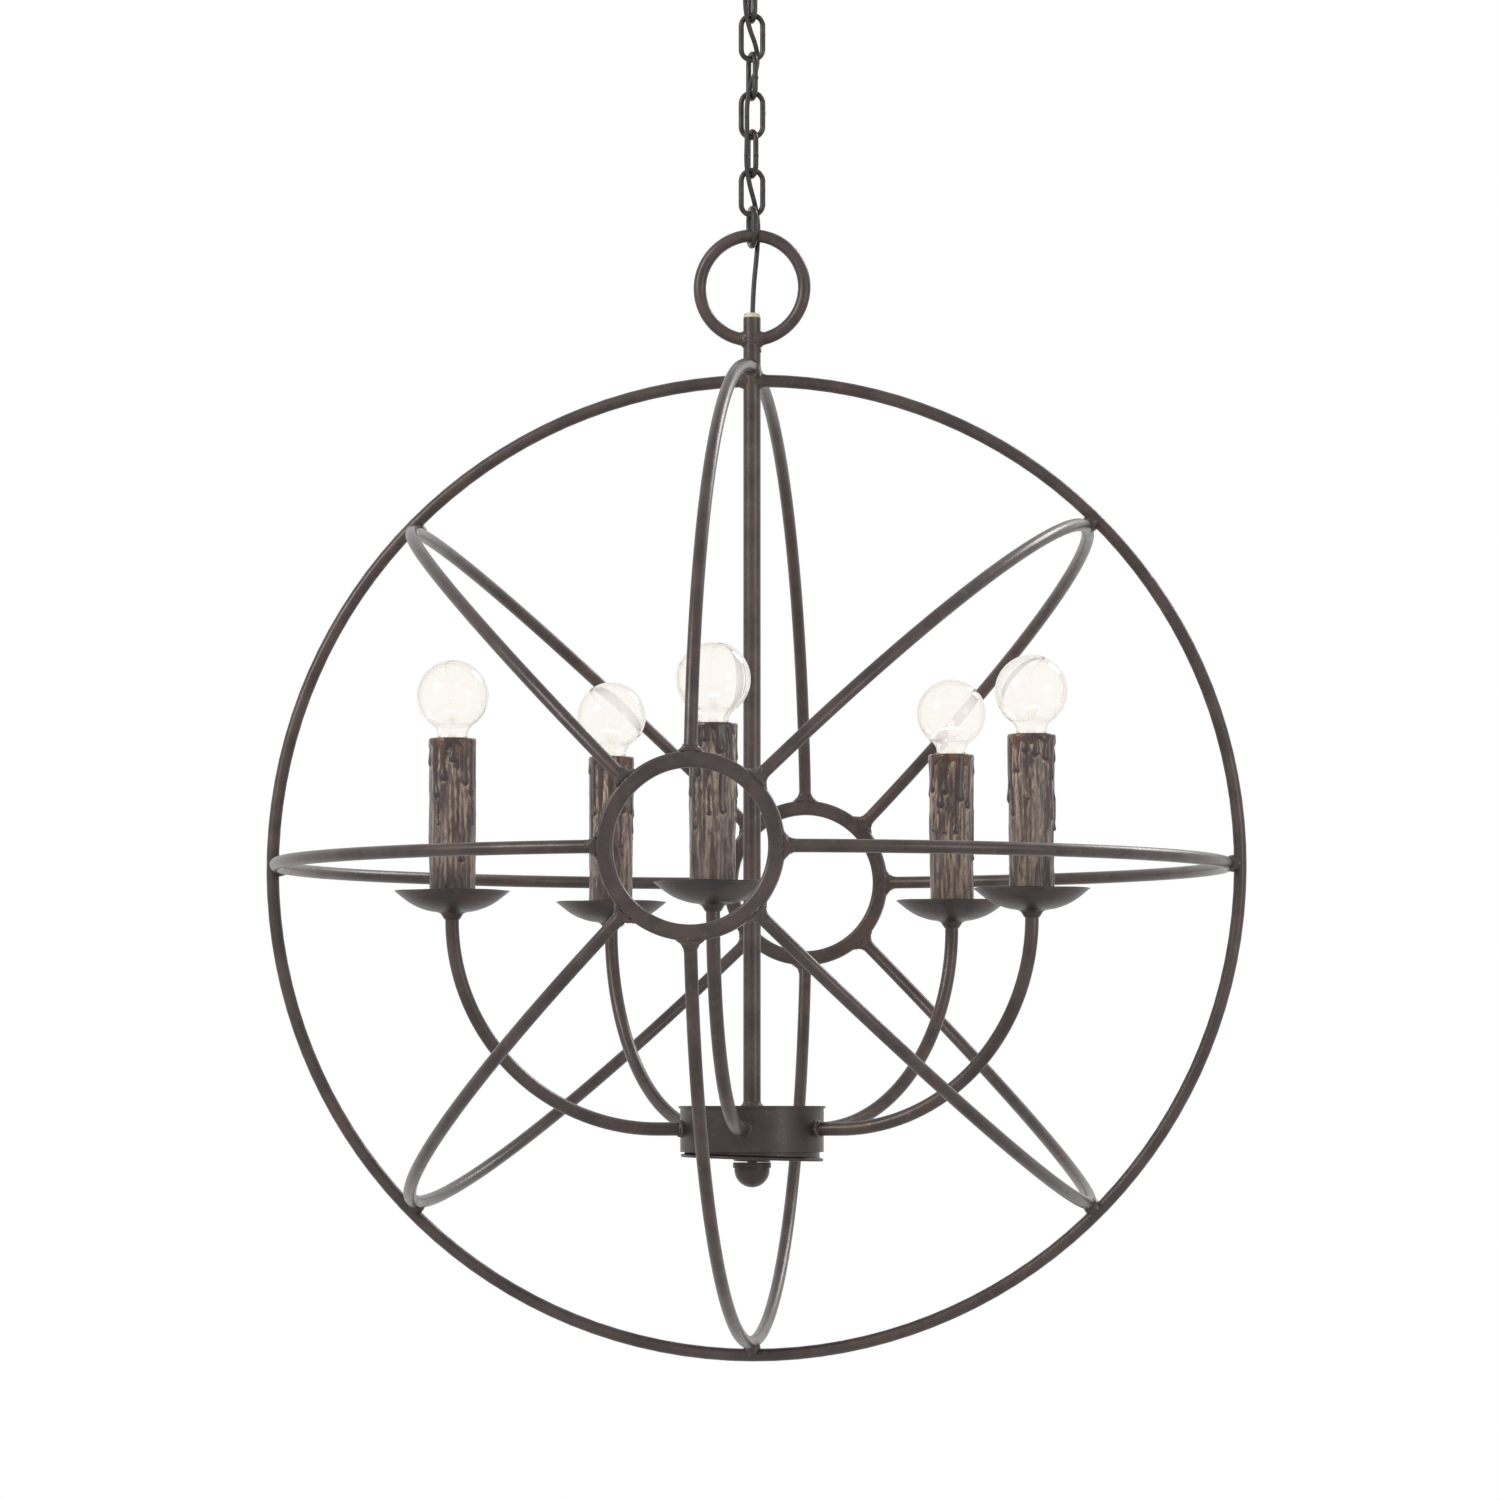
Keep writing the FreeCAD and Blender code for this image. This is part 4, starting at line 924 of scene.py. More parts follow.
@dataclass
class Cage:
    """The welded orb: hoop, C-shaped rods, hub rings, stem and hanging ring."""

    frame: dict[str, Any]
    hoop_radius: float = 306 * MM
    rod_radius: float = 4 * MM
    hub_radius: float = 50.6 * MM
    hub_half_width: float = 4.85 * MM
    hub_reach: float = 292.8 * MM
    stem_radius: float = 5.5 * MM
    stem_top: float = 346 * MM
    ring_radius: float = 33.2 * MM
    ring_wire: float = 4 * MM
    ring_lift: float = 19 * MM
    ring_sink: float = 0.5 * MM  # how far the ring's ends run into the stem
    seam_offset: float = -10 * MM
    seam_radius: float = 3.75 * MM
    nub_z: float = 325 * MM
    directions: tuple[float, ...] = (0, 45, 90, 135, 180, 225, 270, 315)
    stem_side: float = 90  # the direction in which the stem stands for a rod's weld
    lumpy: tuple[float, ...] = (135, 225)
    fillet_depth: float = 3.05 * MM
    lumpy_depth: float = 2.7 * MM
    hub_rows: Rows = (  # each row's place along the rod and half its width, in millimetres
        (-1.1, 8.1), (-0.6, 7.5), (0.1, 6.7), (0.9, 5.7), (2.0, 4.7), (3.2, 4.0), (4.6, 3.45), (6.2, 3.2))
    hoop_rows: Rows = ((-1.6, 3.7), (-0.3, 3.2), (1.0, 3.6))
    stem_rows: Rows = ((-0.5, 4.8), (0.2, 4.5), (1.1, 3.95), (2.2, 3.5), (3.3, 3.25))
    hub_bead: Bead = Bead(0.9 * MM, 0.95 * MM, 0.10 * MM)
    lumpy_bead: Bead = Bead(1.5 * MM, 1.1 * MM, 0.30 * MM)
    hoop_bead: Bead = Bead(1.3 * MM, 1.15 * MM, 0.35 * MM)
    seam_bead: Bead = Bead(0.7 * MM, 0.5 * MM, 0.12 * MM, 0.22 * MM)
    stem_bead: Bead = Bead(0.9 * MM, 0.85 * MM, 0.12 * MM)
    ring_bead: Bead = Bead(0.9 * MM, 0.85 * MM, 0.08 * MM)

    def build(self) -> None:
        """Dresses the nodes and adds the weld metal."""
        names = [n for n in self.frame["nodes"] if n.startswith("cage_rod")]
        dress(self.frame, Stock.CAGE, "outer_hoop", "front_hub_ring", "rear_hub_ring", "centre_stem", *names)
        dress(self.frame, Stock.BUSH, "stem_bush")
        self.hanging_ring()
        self.hub_welds()
        self.hoop_welds()
        self.stem_welds()

    def outward(self, degrees: float) -> Vector:
        """The direction of a rod, from the orb's middle."""
        return Vector((math.cos(math.radians(degrees)), 0, math.sin(math.radians(degrees))))

    def ring_low(self, step: float) -> Vector:
        """The ring's middle line beside the stem.

        Args:
            step: how far outside the stem, in metres.

        Returns:
            The place on the stem's axis at the line's height.
        """
        drop = math.sqrt(self.ring_radius ** 2 - (self.stem_radius + step) ** 2)
        return ORB + Vector((0, 0, self.stem_top + self.ring_lift - drop))

    def hanging_ring(self) -> None:
        """The ring, whose ends run into the stem's wall."""
        middle = ORB + Vector((0, 0, self.stem_top + self.ring_lift))
        gap = math.degrees(math.asin((self.stem_radius - self.ring_sink) / self.ring_radius))
        path = loop(middle, -UP, RIGHT, self.ring_radius, self.ring_radius, 161, gap, 360 - 2 * gap)
        fitted(mesh_piece("ring_bar", *tube(path, self.ring_wire, 40), Stock.CAGE), "orb", "hanging_ring")

    def hub_welds(self) -> None:
        """The beads where the rods meet the hub rings."""
        for label, way in (("front", -1.0), ("rear", 1.0)):
            plain, lumpy = [], []
            for degrees in self.directions:
                out = self.outward(degrees)
                across = out.cross(REAR)
                lean = (out * self.hub_reach - REAR * way * self.hub_radius).normalized()
                foot = ORB + REAR * way * self.hub_reach + out * (self.hub_radius + self.hub_half_width)
                rough = degrees in self.lumpy and way < 0
                depth = self.lumpy_depth if rough else self.fillet_depth
                (lumpy if rough else plain).extend(
                    loop(foot + lean * row * MM, across, REAR, half * MM, depth, 28, square=0.62)
                    for row, half in self.hub_rows)
            self.weld(f"hub_weld_{label}", plain, self.hub_bead, 11 + int(way))
            if lumpy:
                self.weld(f"hub_weld_{label}_lumpy", lumpy, self.lumpy_bead, 17)

    def hoop_welds(self) -> None:
        """The beads where the rods cross the hoop, and the seam that closes the hoop."""
        lines = []
        for degrees in self.directions:
            if degrees == self.stem_side:
                continue
            out = self.outward(degrees)
            across = out.cross(REAR)
            spot = ORB + out * (self.hoop_radius - self.rod_radius)
            for lift, half in self.hoop_rows:
                lines.append(loop(spot + out * lift * MM, across, REAR, half * MM, half * MM, 18))
        self.weld("hoop_weld", lines, self.hoop_bead, 23)
        turn = math.asin(self.seam_offset / self.hoop_radius)
        out = Vector((math.sin(turn), 0, -math.cos(turn)))
        seam = loop(ORB + out * self.hoop_radius, out, REAR, self.seam_radius, self.seam_radius, 24)
        self.weld("hoop_seam", [seam], self.seam_bead, 29)

    def stem_welds(self) -> None:
        """The beads round the stem, at the hoop and at the hanging ring, and a drop of weld on the stem."""
        hoop = ORB + Vector((0, 0, self.hoop_radius))
        lines = [self.saddle(hoop, side, half * MM, step * MM) for side in (-1, 1) for step, half in self.stem_rows]
        nub = ORB + Vector((self.stem_radius - 0.3 * MM, -1 * MM, self.nub_z))
        lines.append(loop(nub, UP, REAR, 1.2 * MM, 0.6 * MM, 8))
        self.weld("stem_weld", lines, self.stem_bead, 31)
        lines = [self.saddle(self.ring_low(step * MM), side, half * MM, step * MM)
                 for side in (-1, 1) for step, half in self.stem_rows]
        self.weld("ring_weld", lines, self.ring_bead, 37)

    def saddle(self, middle: Vector, side: int, half: float, step: float) -> list[Vector]:
        """The line where a rod that crosses the stem meets it.

        Args:
            middle: where their axes cross.
            side: 1 for the stem's right side, -1 for its left.
            half: the line's radius about the rod's axis.
            step: how far outside the stem it lies.

        Returns:
            Points in order.
        """
        return [spot + Vector((side * (math.sqrt(self.stem_radius ** 2 - spot.y ** 2) + step), 0, 0))
                for spot in loop(middle, UP, REAR, half, half, 22)]

    @staticmethod
    def weld(name: str, lines: Sequence[Sequence[Vector]], bead: Bead, seed: int) -> None:
        """One piece of the orb's weld metal.

        Args:
            name: the piece's name.
            lines: the lines that it follows.
            bead: how it is laid.
            seed: which random lumps.
        """
        fitted(bead.lay(name, lines, seed), "orb")


@dataclass
class Chain:
    """The links, the connecting link and their butt welds."""

    frame: dict[str, Any]
    width: float = 17 * MM
    wire: float = 1.7 * MM
    turns: tuple[float, ...] = (112, 3, 115, 2, 118, 4)
    lifts: tuple[float, float] = (-2.0 * MM, 1.5 * MM)  # the burrs of odd and even links, from a link's middle
    burr_rows: Rows = ((-0.8, 1.42), (0.0, 1.6), (0.8, 1.42))
    bead: Bead = Bead(0.6 * MM, 0.45 * MM, 0.12 * MM, 0.2 * MM)

    def build(self) -> None:
        """Dresses the links and adds a burr on each."""
        dress(self.frame, Stock.CHAIN, "connecting_link", *(f"chain_link_{n + 1}" for n in range(len(self.turns))))
        for n, turn in enumerate(self.turns):
            low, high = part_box(f"chain_link_{n + 1}")
            middle = Vector((0, 0, (low.z + high.z) / 2 + self.lifts[n % 2]))
            way = math.radians(turn)
            out = Vector((math.cos(way), math.sin(way), 0)) * (1 if n % 2 else -1)
            leg = middle + out * (self.width / 2 - self.wire)
            rows = [loop(leg + Vector((0, 0, lift * MM)), out, out.cross(UP), size * MM, size * MM, 12, -75, 150)
                    for lift, size in self.burr_rows]
            burr = self.bead.lay(f"link_burr_{n + 1}", rows, 41 + n, Stock.CHAIN, closed=False)
            fitted(burr, f"link_{n + 1}")


@dataclass
class SupplyFlex:
    """The black cord, threaded along the chain and split at the middle of each link."""

    diameter: float = 3.1 * MM
    sides: int = 20
    steps: int = 24
    reach: float = 10 * MM  # a distance from a joint, in metres
    route: tuple[tuple[float, float, float], ...] = (
        (13.1, 0, -10.1), (0, 0, -10.1), (0.2, -0.3, -57.5), (-3.2, -5.1, -73.75), (-3.9, -5.1, -98.05),
        (5.0, 6.6, -122.75), (-2.7, -5.5, -147.45), (-2.4, -5.3, -172.15), (-3.2, -5.1, -196.85),
        (2.8, 6.7, -221.4), (3.2, 6.6, -239.55), (0, 0, -277.8), (0, 0, -313.6))
    pivots: tuple[float, ...] = (-76.0, -99.9, -124.6, -149.3, -174.0, -198.7, -223.4, -242.7)
    bodies: tuple[str, ...] = ("ceiling_fitting", "link_1", "link_2", "link_3", "link_4", "link_5", "link_6",
                               "connecting_link", "orb")

    def line(self) -> list[Vector]:
        """The cord's middle line, read from its spline.

        Returns:
            Points in order.
        """
        curve = bpy.data.curves.new("flex_line", "CURVE")
        curve.dimensions = "3D"
        spline = curve.splines.new("NURBS")
        spline.points.add(len(self.route) - 1)
        for point, place in zip(spline.points, self.route):
            point.co = (*(v * MM for v in place), 1.0)
        spline.order_u = 3
        spline.use_endpoint_u = True
        spline.resolution_u = self.steps
        holder = bpy.data.objects.new("flex_line", curve)
        bpy.context.scene.collection.objects.link(holder)
        graph = bpy.context.evaluated_depsgraph_get()
        mesh = bpy.data.meshes.new_from_object(holder.evaluated_get(graph))
        points = [v.co.copy() for v in mesh.vertices]
        bpy.data.objects.remove(holder)
        bpy.data.curves.remove(curve)
        bpy.data.meshes.remove(mesh)
        return points

    def build(self) -> None:
        """Makes the cord's lengths."""
        points = self.line()
        cuts = [(self.pivots[n] + self.pivots[n + 1]) / 2 * MM for n in range(len(self.pivots) - 1)]
        start = 0
        for n in range(len(self.pivots)):
            if n < len(cuts):
                end = next(k for k, p in enumerate(points) if p.z <= cuts[n])
            else:
                end = len(points) - 1
            name = f"supply_flex_{n + 1}"
            piece = mesh_piece(name, *tube(points[start:end + 1], self.diameter / 2, self.sides), Stock.FLEX)
            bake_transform(piece)
            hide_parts("supply_flex")
            LOG.info("%s: %d points", name, end - start)
            start = end


class Field:
    """Smooth random relief on a sleeve's skin, which joins up round it."""

    def __init__(self, seed: int, rows: int, sides: int, row_gap: float, side_gap: float) -> None:
        """Keeps the grid.

        Args:
            seed: which random numbers.
            rows: grid rows, up the sleeve.
            sides: grid points round it.
            row_gap: from row to row, in millimetres.
            side_gap: from point to point round it.
        """
        self.random = np.random.default_rng(seed)
        self.shape = (rows, sides)
        self.up = np.fft.fftfreq(rows, row_gap)[:, None]
        self.round = np.fft.fftfreq(sides, side_gap)[None, :]

    def blurred(self, values: np.ndarray, tall: float, wide: float) -> np.ndarray:
        """The relief smoothed.

        Args:
            values: the relief.
            tall: the size of what is smoothed away up the sleeve, in millimetres.
            wide: the same round it.

        Returns:
            The smoothed relief.
        """
        weight = np.exp(-2 * (math.pi ** 2) * ((self.up * tall) ** 2 + (self.round * wide) ** 2))
        return np.fft.ifft2(np.fft.fft2(values) * weight).real

    def grain(self, tall: float, wide: float) -> np.ndarray:
        """New relief of one size, with a spread of 1."""
        made = self.blurred(self.random.standard_normal(self.shape), tall, wide)
        return (made - made.mean()) / made.std()


@dataclass(frozen=True)
class Pour:
    """A kind of wax run: how many, and what each one's measures are drawn from, in millimetres."""

    count: int
    reach: tuple[float, float]
    width: tuple[float, float]
    raised: tuple[float, float]
    stray: float = 0.0  # how far from its even place a run may start, as a share of their spacing


@dataclass
class WaxSleeve:
    """A candle sleeve whose wax lip, runs and ridges are raised by hand."""

    number: int
    centre: Vector
    turn: float
    low: float = -27.9  # all in millimetres, from the orb's middle
    top: float = 78.0
    skin: float = 14.05
    bore: float = 12.7
    most: float = 15.95
    rows: int = 200
    sides: int = 216
    long_runs: Pour = Pour(5, (40, 78), (1.5, 2.5), (0.55, 0.85), 0.4)
    short_runs: Pour = Pour(12, (11, 46), (2.0, 3.1), (0.9, 1.3), 0.3)
    drops: Pour = Pour(5, (40, 70), (1.0, 1.5), (0.8, 1.1))
    drops_from: float = 34.0  # below the top
    lip: float = 5.6
    round_rows: int = 5
    sharp: float = 7.0  # how crisply one layer of wax meets another
    sunk: float = 0.16  # how deep a run's foot lies in the ground

    def run_layer(self, random: np.random.Generator, down: np.ndarray, angles: np.ndarray, wander: np.ndarray,
                  middle: float, reach: float, width: float, raised: float) -> np.ndarray:
        """One run of wax.

        Args:
            random: the sleeve's random numbers.
            down: how far each row is below the top.
            angles: where each column is.
            wander: how far the wax strays sideways.
            middle: the angle that it starts at.
            reach: how far down it goes.
            width: half its width.
            raised: how far it stands out.

        Returns:
            Its height over the grid.
        """
        drift = random.uniform(-0.10, 0.10) * down / 60
        arc = np.abs((angles - middle - wander - drift + math.pi) % (2 * math.pi) - math.pi) * self.skin
        swell = 1 + 0.30 * np.exp(-(((down - reach + width) / (1.5 * width)) ** 2))
        thin = 1 - 0.24 * np.exp(-(((down - reach + 4.4 * width) / (2.2 * width)) ** 2))
        end = np.clip((down - (reach - 1.3 * width)) / (1.3 * width), 0, None)
        shape = np.clip(1 - (arc / (width * swell * thin)) ** 2 - end ** 2, 0, None) ** 0.5
        return raised * swell * thin * shape

    def relief(self) -> tuple[np.ndarray, np.ndarray, dict[str, np.ndarray]]:
        """The skin's shape.

        Returns:
            The heights of the grid's rows, its radii, and the marks that its paint follows.
        """
        heights = np.linspace(self.low, self.top - 1.0, self.rows)
        skin = Field(100 + self.number, self.rows, self.sides, heights[1] - heights[0],
                     2 * math.pi * self.skin / self.sides)
        random = skin.random
        down = (self.top - heights)[:, None]
        angles = np.linspace(0, 2 * math.pi, self.sides, endpoint=False)[None, :]
        ground = 0.26 * skin.grain(18, 2.6) + 0.17 * skin.grain(8, 0.7) + 0.06 * skin.grain(1.8, 0.55)
        wander = 0.05 * skin.grain(11, 60)

        def poured(kind: Pour, middle: float) -> np.ndarray:
            """One run of a kind, at an angle."""
            return self.run_layer(random, down, angles, wander, middle, random.uniform(*kind.reach),
                                  random.uniform(*kind.width), random.uniform(*kind.raised))

        runs = []
        for kind in (self.long_runs, self.short_runs):
            for n in range(kind.count):
                stray = random.uniform(-kind.stray, kind.stray)
                runs.append(poured(kind, 2 * math.pi * (n + stray) / kind.count))
        for _ in range(self.drops.count):
            drop = poured(self.drops, random.uniform(0, 2 * math.pi))
            runs.append(drop * np.clip((down - self.drops_from) / 6, 0, 1))
        edge = self.lip + 1.5 * np.sin(angles * 8 + self.turn) + 1.1 * skin.grain(60, 2.6)[:1]
        hang = np.clip((edge - down) / 1.8, 0, 1) ** 0.5
        runs.append(1.1 * hang * (1 + 0.16 * skin.grain(4, 2.2)))
        under = np.exp(self.sharp * ground)
        over = sum(np.exp(self.sharp * (run - self.sunk)) for run in runs)
        over = np.clip(over - len(runs) * math.exp(-self.sunk * self.sharp), 0, None)
        raised = np.log(under + over) / self.sharp
        radii = np.clip(self.skin + raised - 0.1, self.bore + 0.7, self.most)
        radii = radii - 0.7 * np.clip(1 - down / 1.9, 0, 1) ** 2
        proud = radii - skin.blurred(radii, 2.5, 1.5)
        run = over / (under + over)
        marks = {"crest": np.clip(0.35 + proud / 0.42, 0, 1), "run": run,
                 "halo": np.clip(2.6 * skin.blurred(run, 2.4, 1.1) * (1 - run), 0, 1),
                 "rise": np.clip(1 - down / (self.top - self.low), 0, 1) + 0 * radii}
        return heights, radii, marks

    def build(self) -> bpy.types.Object:
        """Makes the sleeve.

        Returns:
            The sleeve, closed inside and out.
        """
        heights, radii, marks = self.relief()
        angles = np.linspace(0, 2 * math.pi, self.sides, endpoint=False) + math.radians(self.turn)
        rings = [(radii[n], heights[n]) for n in range(self.rows)]
        sources = list(range(self.rows))
        rim_out, rim_in = radii[-1], self.bore
        for n in range(1, self.round_rows + 1):
            bend = math.pi * n / self.round_rows
            rings.append((rim_out + (rim_in - rim_out) * (1 - math.cos(bend)) / 2, heights[-1] + math.sin(bend)))
            sources.append(self.rows - 1)
        for share in (0.25, 0.5, 0.75, 1.0):
            rings.append((np.full(self.sides, self.bore), heights[-1] + (self.low - heights[-1]) * share))
            sources.append(self.rows - 1)
        points: list[np.ndarray] = []
        for radius, height in rings:
            points += list(np.stack([self.centre.x + radius * MM * np.cos(angles),
                                     self.centre.y + radius * MM * np.sin(angles),
                                     np.full(self.sides, ORB_Z + height * MM)], axis=1))
        faces = ring_faces(len(rings), self.sides)
        piece = mesh_piece(f"wax_sleeve_{self.number}", points, faces, Stock.WAX)
        for name, values in marks.items():
            layer = piece.data.attributes.new(name, "FLOAT", "POINT")
            layer.data.foreach_set("value", values[sources].astype(np.float32).ravel())
        return piece


@dataclass
class DripCup:
    """A spun cup: a shallow dish with a rolled edge, and the weld under it."""

    number: int
    centre: Vector
    sides: int = 112
    beat: float = 0.12  # millimetres that the edge is out of true
    outline: Rows = (
        (4.45, -34.9), (4.45, -34.9), (5.1, -34.3), (6.0, -32.8), (7.2, -31.2), (9.4, -30.3), (12.8, -29.8),
        (16.6, -28.9), (21.8, -27.0), (26.8, -24.3), (31.4, -20.9), (34.9, -18.0), (35.75, -17.5), (35.9, -17.05),
        (35.3, -16.9), (34.2, -17.5), (30.8, -19.9), (26.4, -23.1), (21.6, -25.8), (16.6, -27.7), (12.8, -28.55),
        (9.4, -28.8), (4.45, -28.8), (4.45, -28.8))

    def out_of_true(self, angle: float, radius: float, height: float) -> Vector:
        """Where a point of the dish ends up, beaten slightly out of round."""
        share = max(0.0, (radius - 17.0) / 19.0)
        lift = self.beat * share * math.sin(3 * angle + self.number) + 0.5 * self.beat * share * math.sin(7 * angle)
        return Vector((radius * math.cos(angle), radius * math.sin(angle), height + lift))

    def build(self) -> bpy.types.Object:
        """Makes the cup.

        Returns:
            The cup.
        """
        shape = lathe(flowing(self.outline, 3), self.centre, self.sides, self.out_of_true)
        return mesh_piece(f"spun_cup_{self.number}", *shape, Stock.CUP)


@dataclass
class DrumCover:
    """The drum's loose cover: a thin plate that hangs a little askew, with a rim inside the drum."""

    sides: int = 144
    tilt: float = 1.8  # degrees, lower on the right
    middle: float = -183.0
    outline: Rows = (
        (3.3, -185.3), (3.3, -185.3), (10.6, -185.3), (11.4, -184.9), (12.0, -184.1), (13.4, -183.9),
        (30.0, -183.9), (43.3, -183.85), (44.4, -183.4), (44.7, -182.7), (44.3, -182.0), (43.0, -181.7),
        (42.4, -181.65), (42.4, -181.65), (42.3, -177.0), (42.1, -176.5), (41.6, -176.5), (41.4, -177.0),
        (41.3, -181.65), (41.3, -181.65), (30.0, -181.8), (3.3, -181.8), (3.3, -181.8))

    def askew(self, angle: float, radius: float, height: float) -> Vector:
        """Where a point ends up once the cover is tilted."""
        lean = math.radians(self.tilt)
        x, z = radius * math.cos(angle), height - self.middle
        return Vector((x * math.cos(lean) + z * math.sin(lean), radius * math.sin(angle),
                       self.middle + z * math.cos(lean) - x * math.sin(lean)))

    def build(self) -> bpy.types.Object:
        """Makes the cover.

        Returns:
            The cover.
        """
        return mesh_piece("loose_cover", *lathe(flowing(self.outline, 4), ORB, self.sides, self.askew), Stock.DRUM)


@dataclass
class Candle:
    """One candle light: cup, sleeve, lampholder, bulb and its filament."""

    frame: dict[str, Any]
    number: int
    radius: float = 190 * MM
    turns: tuple[float, ...] = (20, 140, 265, 75, 200)
    cap_top: float = 75 * MM
    mount_top: float = 12 * MM
    filament_rise: float = 19 * MM
    filament_half: float = 7 * MM
    thread_from: float = 6.0 * MM  # above the cap's foot
    lead_wire: float = 0.22 * MM
    hook_wire: float = 0.14 * MM
    arch_steps: int = 24
    light_watts: float = 0.16
    light_size: float = 9 * MM
    light_colour: tuple[float, float, float] = (1.0, 0.72, 0.42)

    @property
    def body(self) -> str:
        """The body that the bulb is."""
        return f"bulb_{self.number}"

    @property
    def centre(self) -> Vector:
        """The candle's axis at the height of the orb's middle."""
        angle = math.radians(-90 + 72 * (self.number - 1))
        return Vector((self.radius * math.cos(angle), self.radius * math.sin(angle), ORB_Z))

    def build(self) -> None:
        """Dresses the nodes and adds what they lack."""
        n = self.number
        dress(self.frame, Stock.GLASS, f"bulb_glass_{n}")
        dress(self.frame, Stock.CAP, f"bulb_cap_{n}")
        self.frame["nodes"][f"bulb_glass_{n}"].visible_shadow = False
        fitted(WaxSleeve(n, self.centre, self.turns[n - 1]).build(), "orb", f"candle_sleeve_{n}")
        fitted(DripCup(n, self.centre).build(), "orb", f"drip_cup_{n}")
        self.thread()
        self.filament()
        self.lamp()

    def thread(self) -> None:
        """The thread rolled into the bulb's cap."""
        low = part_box(f"bulb_cap_{self.number}")[0]
        place = Vector((self.centre.x, self.centre.y, low.z + self.thread_from))
        piece = threaded(f"cap_thread_{self.number}", Stock.CAP, place, Radius=6.55 * MM, Pitch=2.82 * MM,
                         Length=11 * MM, Ridge=0.8 * MM, Steps=48)
        fitted(piece, self.body)

    def filament(self) -> None:
        """The leads that come out of the glass mount, and the coil between them."""
        base = self.centre + Vector((0, 0, self.cap_top))
        face = math.radians(30 + 50 * self.number)
        across = Vector((math.cos(face), math.sin(face), 0))
        deep = across.cross(UP)

        def spot(side: float, rise: float) -> Vector:
            """A place beside the bulb's axis, above its cap."""
            return base + across * side + UP * rise

        ends, parts = [], []
        for side in (-1, 1):
            end = spot(side * self.filament_half, self.filament_rise)
            path = [spot(side * 1.1 * MM, self.mount_top), spot(side * 2.2 * MM, self.mount_top + 2.4 * MM),
                    spot(side * 5.2 * MM, self.filament_rise - 2.6 * MM), end, end + UP * 0.9 * MM]
            parts.append(tube(path, self.lead_wire, 8))
            ends.append(end)
        for side in (-0.45, 0.45):
            hook = spot(side * self.filament_half, self.filament_rise + 2.0 * MM) + deep * 2.6 * MM
            path = [spot(0, self.mount_top + 1.5 * MM), (base + hook) / 2 + UP * 5.5 * MM, hook]
            parts.append(tube(path, self.hook_wire, 6))
        # The leads carry a painted glow, standing in for the filament's light on them.
        leads = mesh_piece(f"filament_leads_{self.number}", *merged(parts), Stock.LEADS_PAINTED_GLOW)
        arch = []
        for n in range(self.arch_steps + 1):
            share = n / self.arch_steps
            bow = math.sin(math.pi * share)
            arch.append(ends[0].lerp(ends[1], share) + deep * 3.0 * MM * bow + UP * 1.6 * MM * bow)
        coil = coil_recipe().run(guide(f"filament_coil_{self.number}", [arch], False), Stock.FILAMENT, Turns=26.0,
                                 Radius=0.42 * MM, Wire=0.11 * MM, Points=420)
        for piece in (leads, coil):
            piece.visible_shadow = False
            fitted(piece, self.body)

    def lamp(self) -> None:
        """The light that the filament gives."""
        light = bpy.data.lights.new(f"bulb_light_{self.number}", "POINT")
        light.energy = self.light_watts
        light.color = self.light_colour
        light.shadow_soft_size = self.light_size
        lamp = bpy.data.objects.new(light.name, light)
        lamp.location = self.centre + Vector((0, 0, self.cap_top + self.filament_rise + 3 * MM))
        lamp.visible_glossy = lamp.visible_camera = lamp.visible_transmission = False
        bpy.context.scene.collection.objects.link(lamp)
        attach(lamp, self.body)


@dataclass
class ArmDrum:
    """The drum with its five arms, its cover and what is inside it."""

    frame: dict[str, Any]
    radius: float = 45 * MM
    arm_z: float = -164.9 * MM  # from the orb's middle
    weld_rows: Rows = ((0.4, 5.0), (1.7, 4.4))
    bead: Bead = Bead(1.2 * MM, 0.85 * MM, 0.22 * MM)

    def build(self) -> None:
        """Dresses the nodes and adds the weld metal round the arms."""
        dress(self.frame, Stock.CAGE, *(f"arm_{n}" for n in range(1, 6)))
        dress(self.frame, Stock.DRUM, "arm_drum", "finial")
        fitted(DrumCover().build(), "orb", "drum_cover")
        dress(self.frame, Stock.ZINC, "cover_strap")
        dress(self.frame, Stock.BLOCK, "drum_connector")
        dress(self.frame, Stock.LEAD, "fixture_wiring")
        dress(self.frame, Stock.HOLDER, "lampholders")
        lines = []
        for n in range(5):
            angle = math.radians(-90 + 72 * n)
            out = Vector((math.cos(angle), math.sin(angle), 0))
            for step, size in self.weld_rows:
                spot = ORB + out * (self.radius + step * MM) + Vector((0, 0, self.arm_z))
                lines.append(loop(spot, out.cross(UP), UP, size * MM, size * MM, 22))
        fitted(self.bead.lay("arm_weld", lines, 53), "orb")


@dataclass
class CeilingFitting:
    """The canopy, its bar and loop, and the terminal block in it."""

    frame: dict[str, Any]
    shank_radius: float = 4.9 * MM
    pitch: float = 1.0 * MM
    thread_from: float = 27.0 * MM  # below the shank's top
    thread_length: float = 26.4 * MM

    def build(self) -> None:
        """Dresses the nodes and threads the shank."""
        dress(self.frame, Stock.DRUM, "canopy", "canopy_loop")
        dress(self.frame, Stock.ZINC, "ceiling_bar", "loop_nuts")
        dress(self.frame, Stock.BLOCK, "terminal_block")
        start = Vector((0, 0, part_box("canopy_loop")[1].z - self.thread_from))
        piece = threaded("shank_thread", Stock.DRUM, start, Radius=self.shank_radius, Pitch=self.pitch,
                         Length=self.thread_length, Ridge=0.3 * MM, Steps=36)
        fitted(piece, "ceiling_fitting")


@dataclass
class Softbox:
    """One soft studio lamp."""

    name: str
    place: tuple[float, float, float]
    size: float
    watts: float
    colour: tuple[float, float, float] = (1.0, 1.0, 1.0)


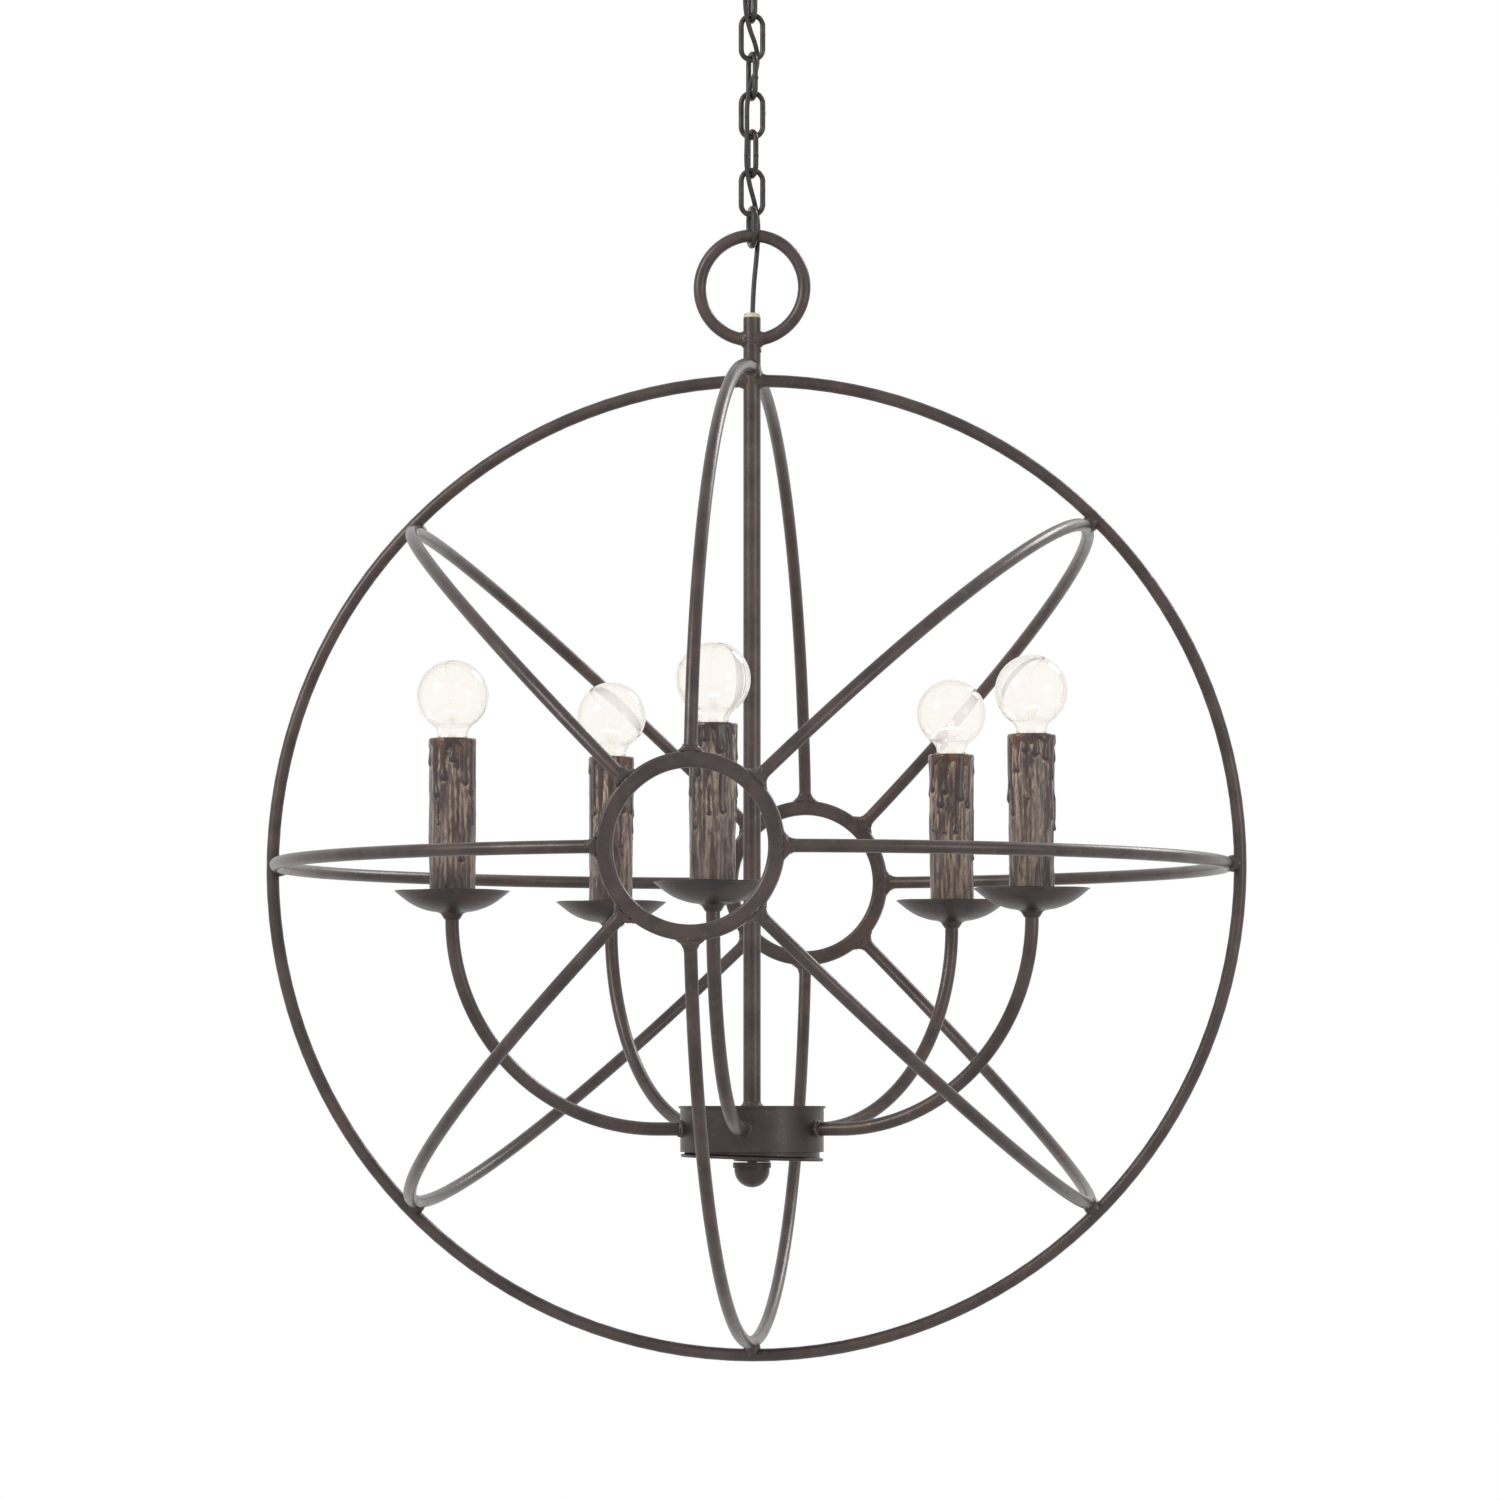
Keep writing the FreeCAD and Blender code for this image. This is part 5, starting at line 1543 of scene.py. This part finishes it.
@dataclass
class Studio:
    """The camera, the white surroundings, the floor and the lamps."""

    azimuth: float = 7.035
    elevation: float = -2.29
    distance: float = 4.018
    focal: float = 6399.0  # in pixels of the photograph's 1500
    picture: float = 1500.0
    sensor: float = 36.0
    orb_below_middle: float = 115.85  # in the same pixels
    orb_right_of_middle: float = 2.0
    floor_z: float = -2.5
    floor_radius: float = 3.0
    ambient: float = 0.62
    lamps: tuple[Softbox, ...] = field(default_factory=lambda: (
        Softbox("key", (-2.9, -2.6, 1.2), 1.8, 62.0),
        Softbox("fill", (3.2, -2.2, -0.2), 1.6, 18.0),
        Softbox("back", (2.2, 2.6, 1.9), 1.6, 58.0),
    ))

    def build(self) -> None:
        """Sets it all up."""
        self.camera()
        self.world()
        self.floor()
        for lamp in self.lamps:
            self.softbox(lamp)

    def camera(self) -> None:
        """Stands the camera where the photograph was taken from."""
        a, e = math.radians(self.azimuth), math.radians(self.elevation)
        back = Vector((math.sin(a) * math.cos(e), -math.cos(a) * math.cos(e), math.sin(e)))
        right = (-back).cross(UP).normalized()
        up = right.cross(-back)
        per_pixel = self.distance / self.focal
        aim = ORB + up * self.orb_below_middle * per_pixel - right * self.orb_right_of_middle * per_pixel
        data = bpy.data.cameras.new("camera")
        data.sensor_width = self.sensor
        data.lens = self.focal / self.picture * self.sensor
        data.clip_start, data.clip_end = 0.1, 100.0
        camera = bpy.data.objects.new("camera", data)
        camera.location = ORB + back * self.distance
        camera.rotation_mode = "QUATERNION"
        camera.rotation_quaternion = (aim - camera.location).to_track_quat("-Z", "Y")
        bpy.context.scene.collection.objects.link(camera)
        bpy.context.scene.camera = camera

    def world(self) -> None:
        """White to look at, and a plain even light."""
        world = bpy.data.worlds.new("studio")
        world.use_nodes = True
        world.node_tree.nodes.clear()
        bench = Bench(world.node_tree)
        strength = bench.seen() * (1 - self.ambient) + self.ambient
        glow = bench.node("ShaderNodeBackground", None, {"Color": (1, 1, 1, 1), "Strength": strength})[0]
        bench.node("ShaderNodeOutputWorld", None, {"Surface": glow})
        bpy.context.scene.world = world

    def floor(self) -> None:
        """A pale round floor that keeps the shadow."""
        rim = loop(Vector((0, 0, self.floor_z)), RIGHT, REAR, self.floor_radius, self.floor_radius, 96)
        floor = mesh_piece("floor", rim, [tuple(range(len(rim)))], Stock.FLOOR)

    @staticmethod
    def softbox(lamp: Softbox) -> None:
        """Hangs one lamp.

        Args:
            lamp: the lamp.
        """
        light = bpy.data.lights.new(lamp.name, "AREA")
        light.shape, light.size = "DISK", lamp.size
        light.energy, light.color = lamp.watts, lamp.colour
        holder = bpy.data.objects.new(lamp.name, light)
        holder.location = Vector(lamp.place)
        holder.rotation_mode = "QUATERNION"
        holder.rotation_quaternion = (ORB - holder.location).to_track_quat("-Z", "Y")
        holder.visible_camera = False
        holder.visible_glossy = True
        bpy.context.scene.collection.objects.link(holder)


def main() -> None:
    """Builds the chandelier round its frame and sets up the studio."""
    logging.basicConfig(level=logging.INFO, format="%(name)s %(message)s")
    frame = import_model()
    bpy.context.scene.view_settings.view_transform = "Standard"
    builders: list[Callable[[], None]] = [Studio().build, SupplyFlex().build, Cage(frame).build, Chain(frame).build]
    builders += [Candle(frame, n).build for n in range(1, 6)]
    builders += [ArmDrum(frame).build, CeilingFitting(frame).build]
    for build in builders:
        build()


if __name__ == "__main__":
    main()
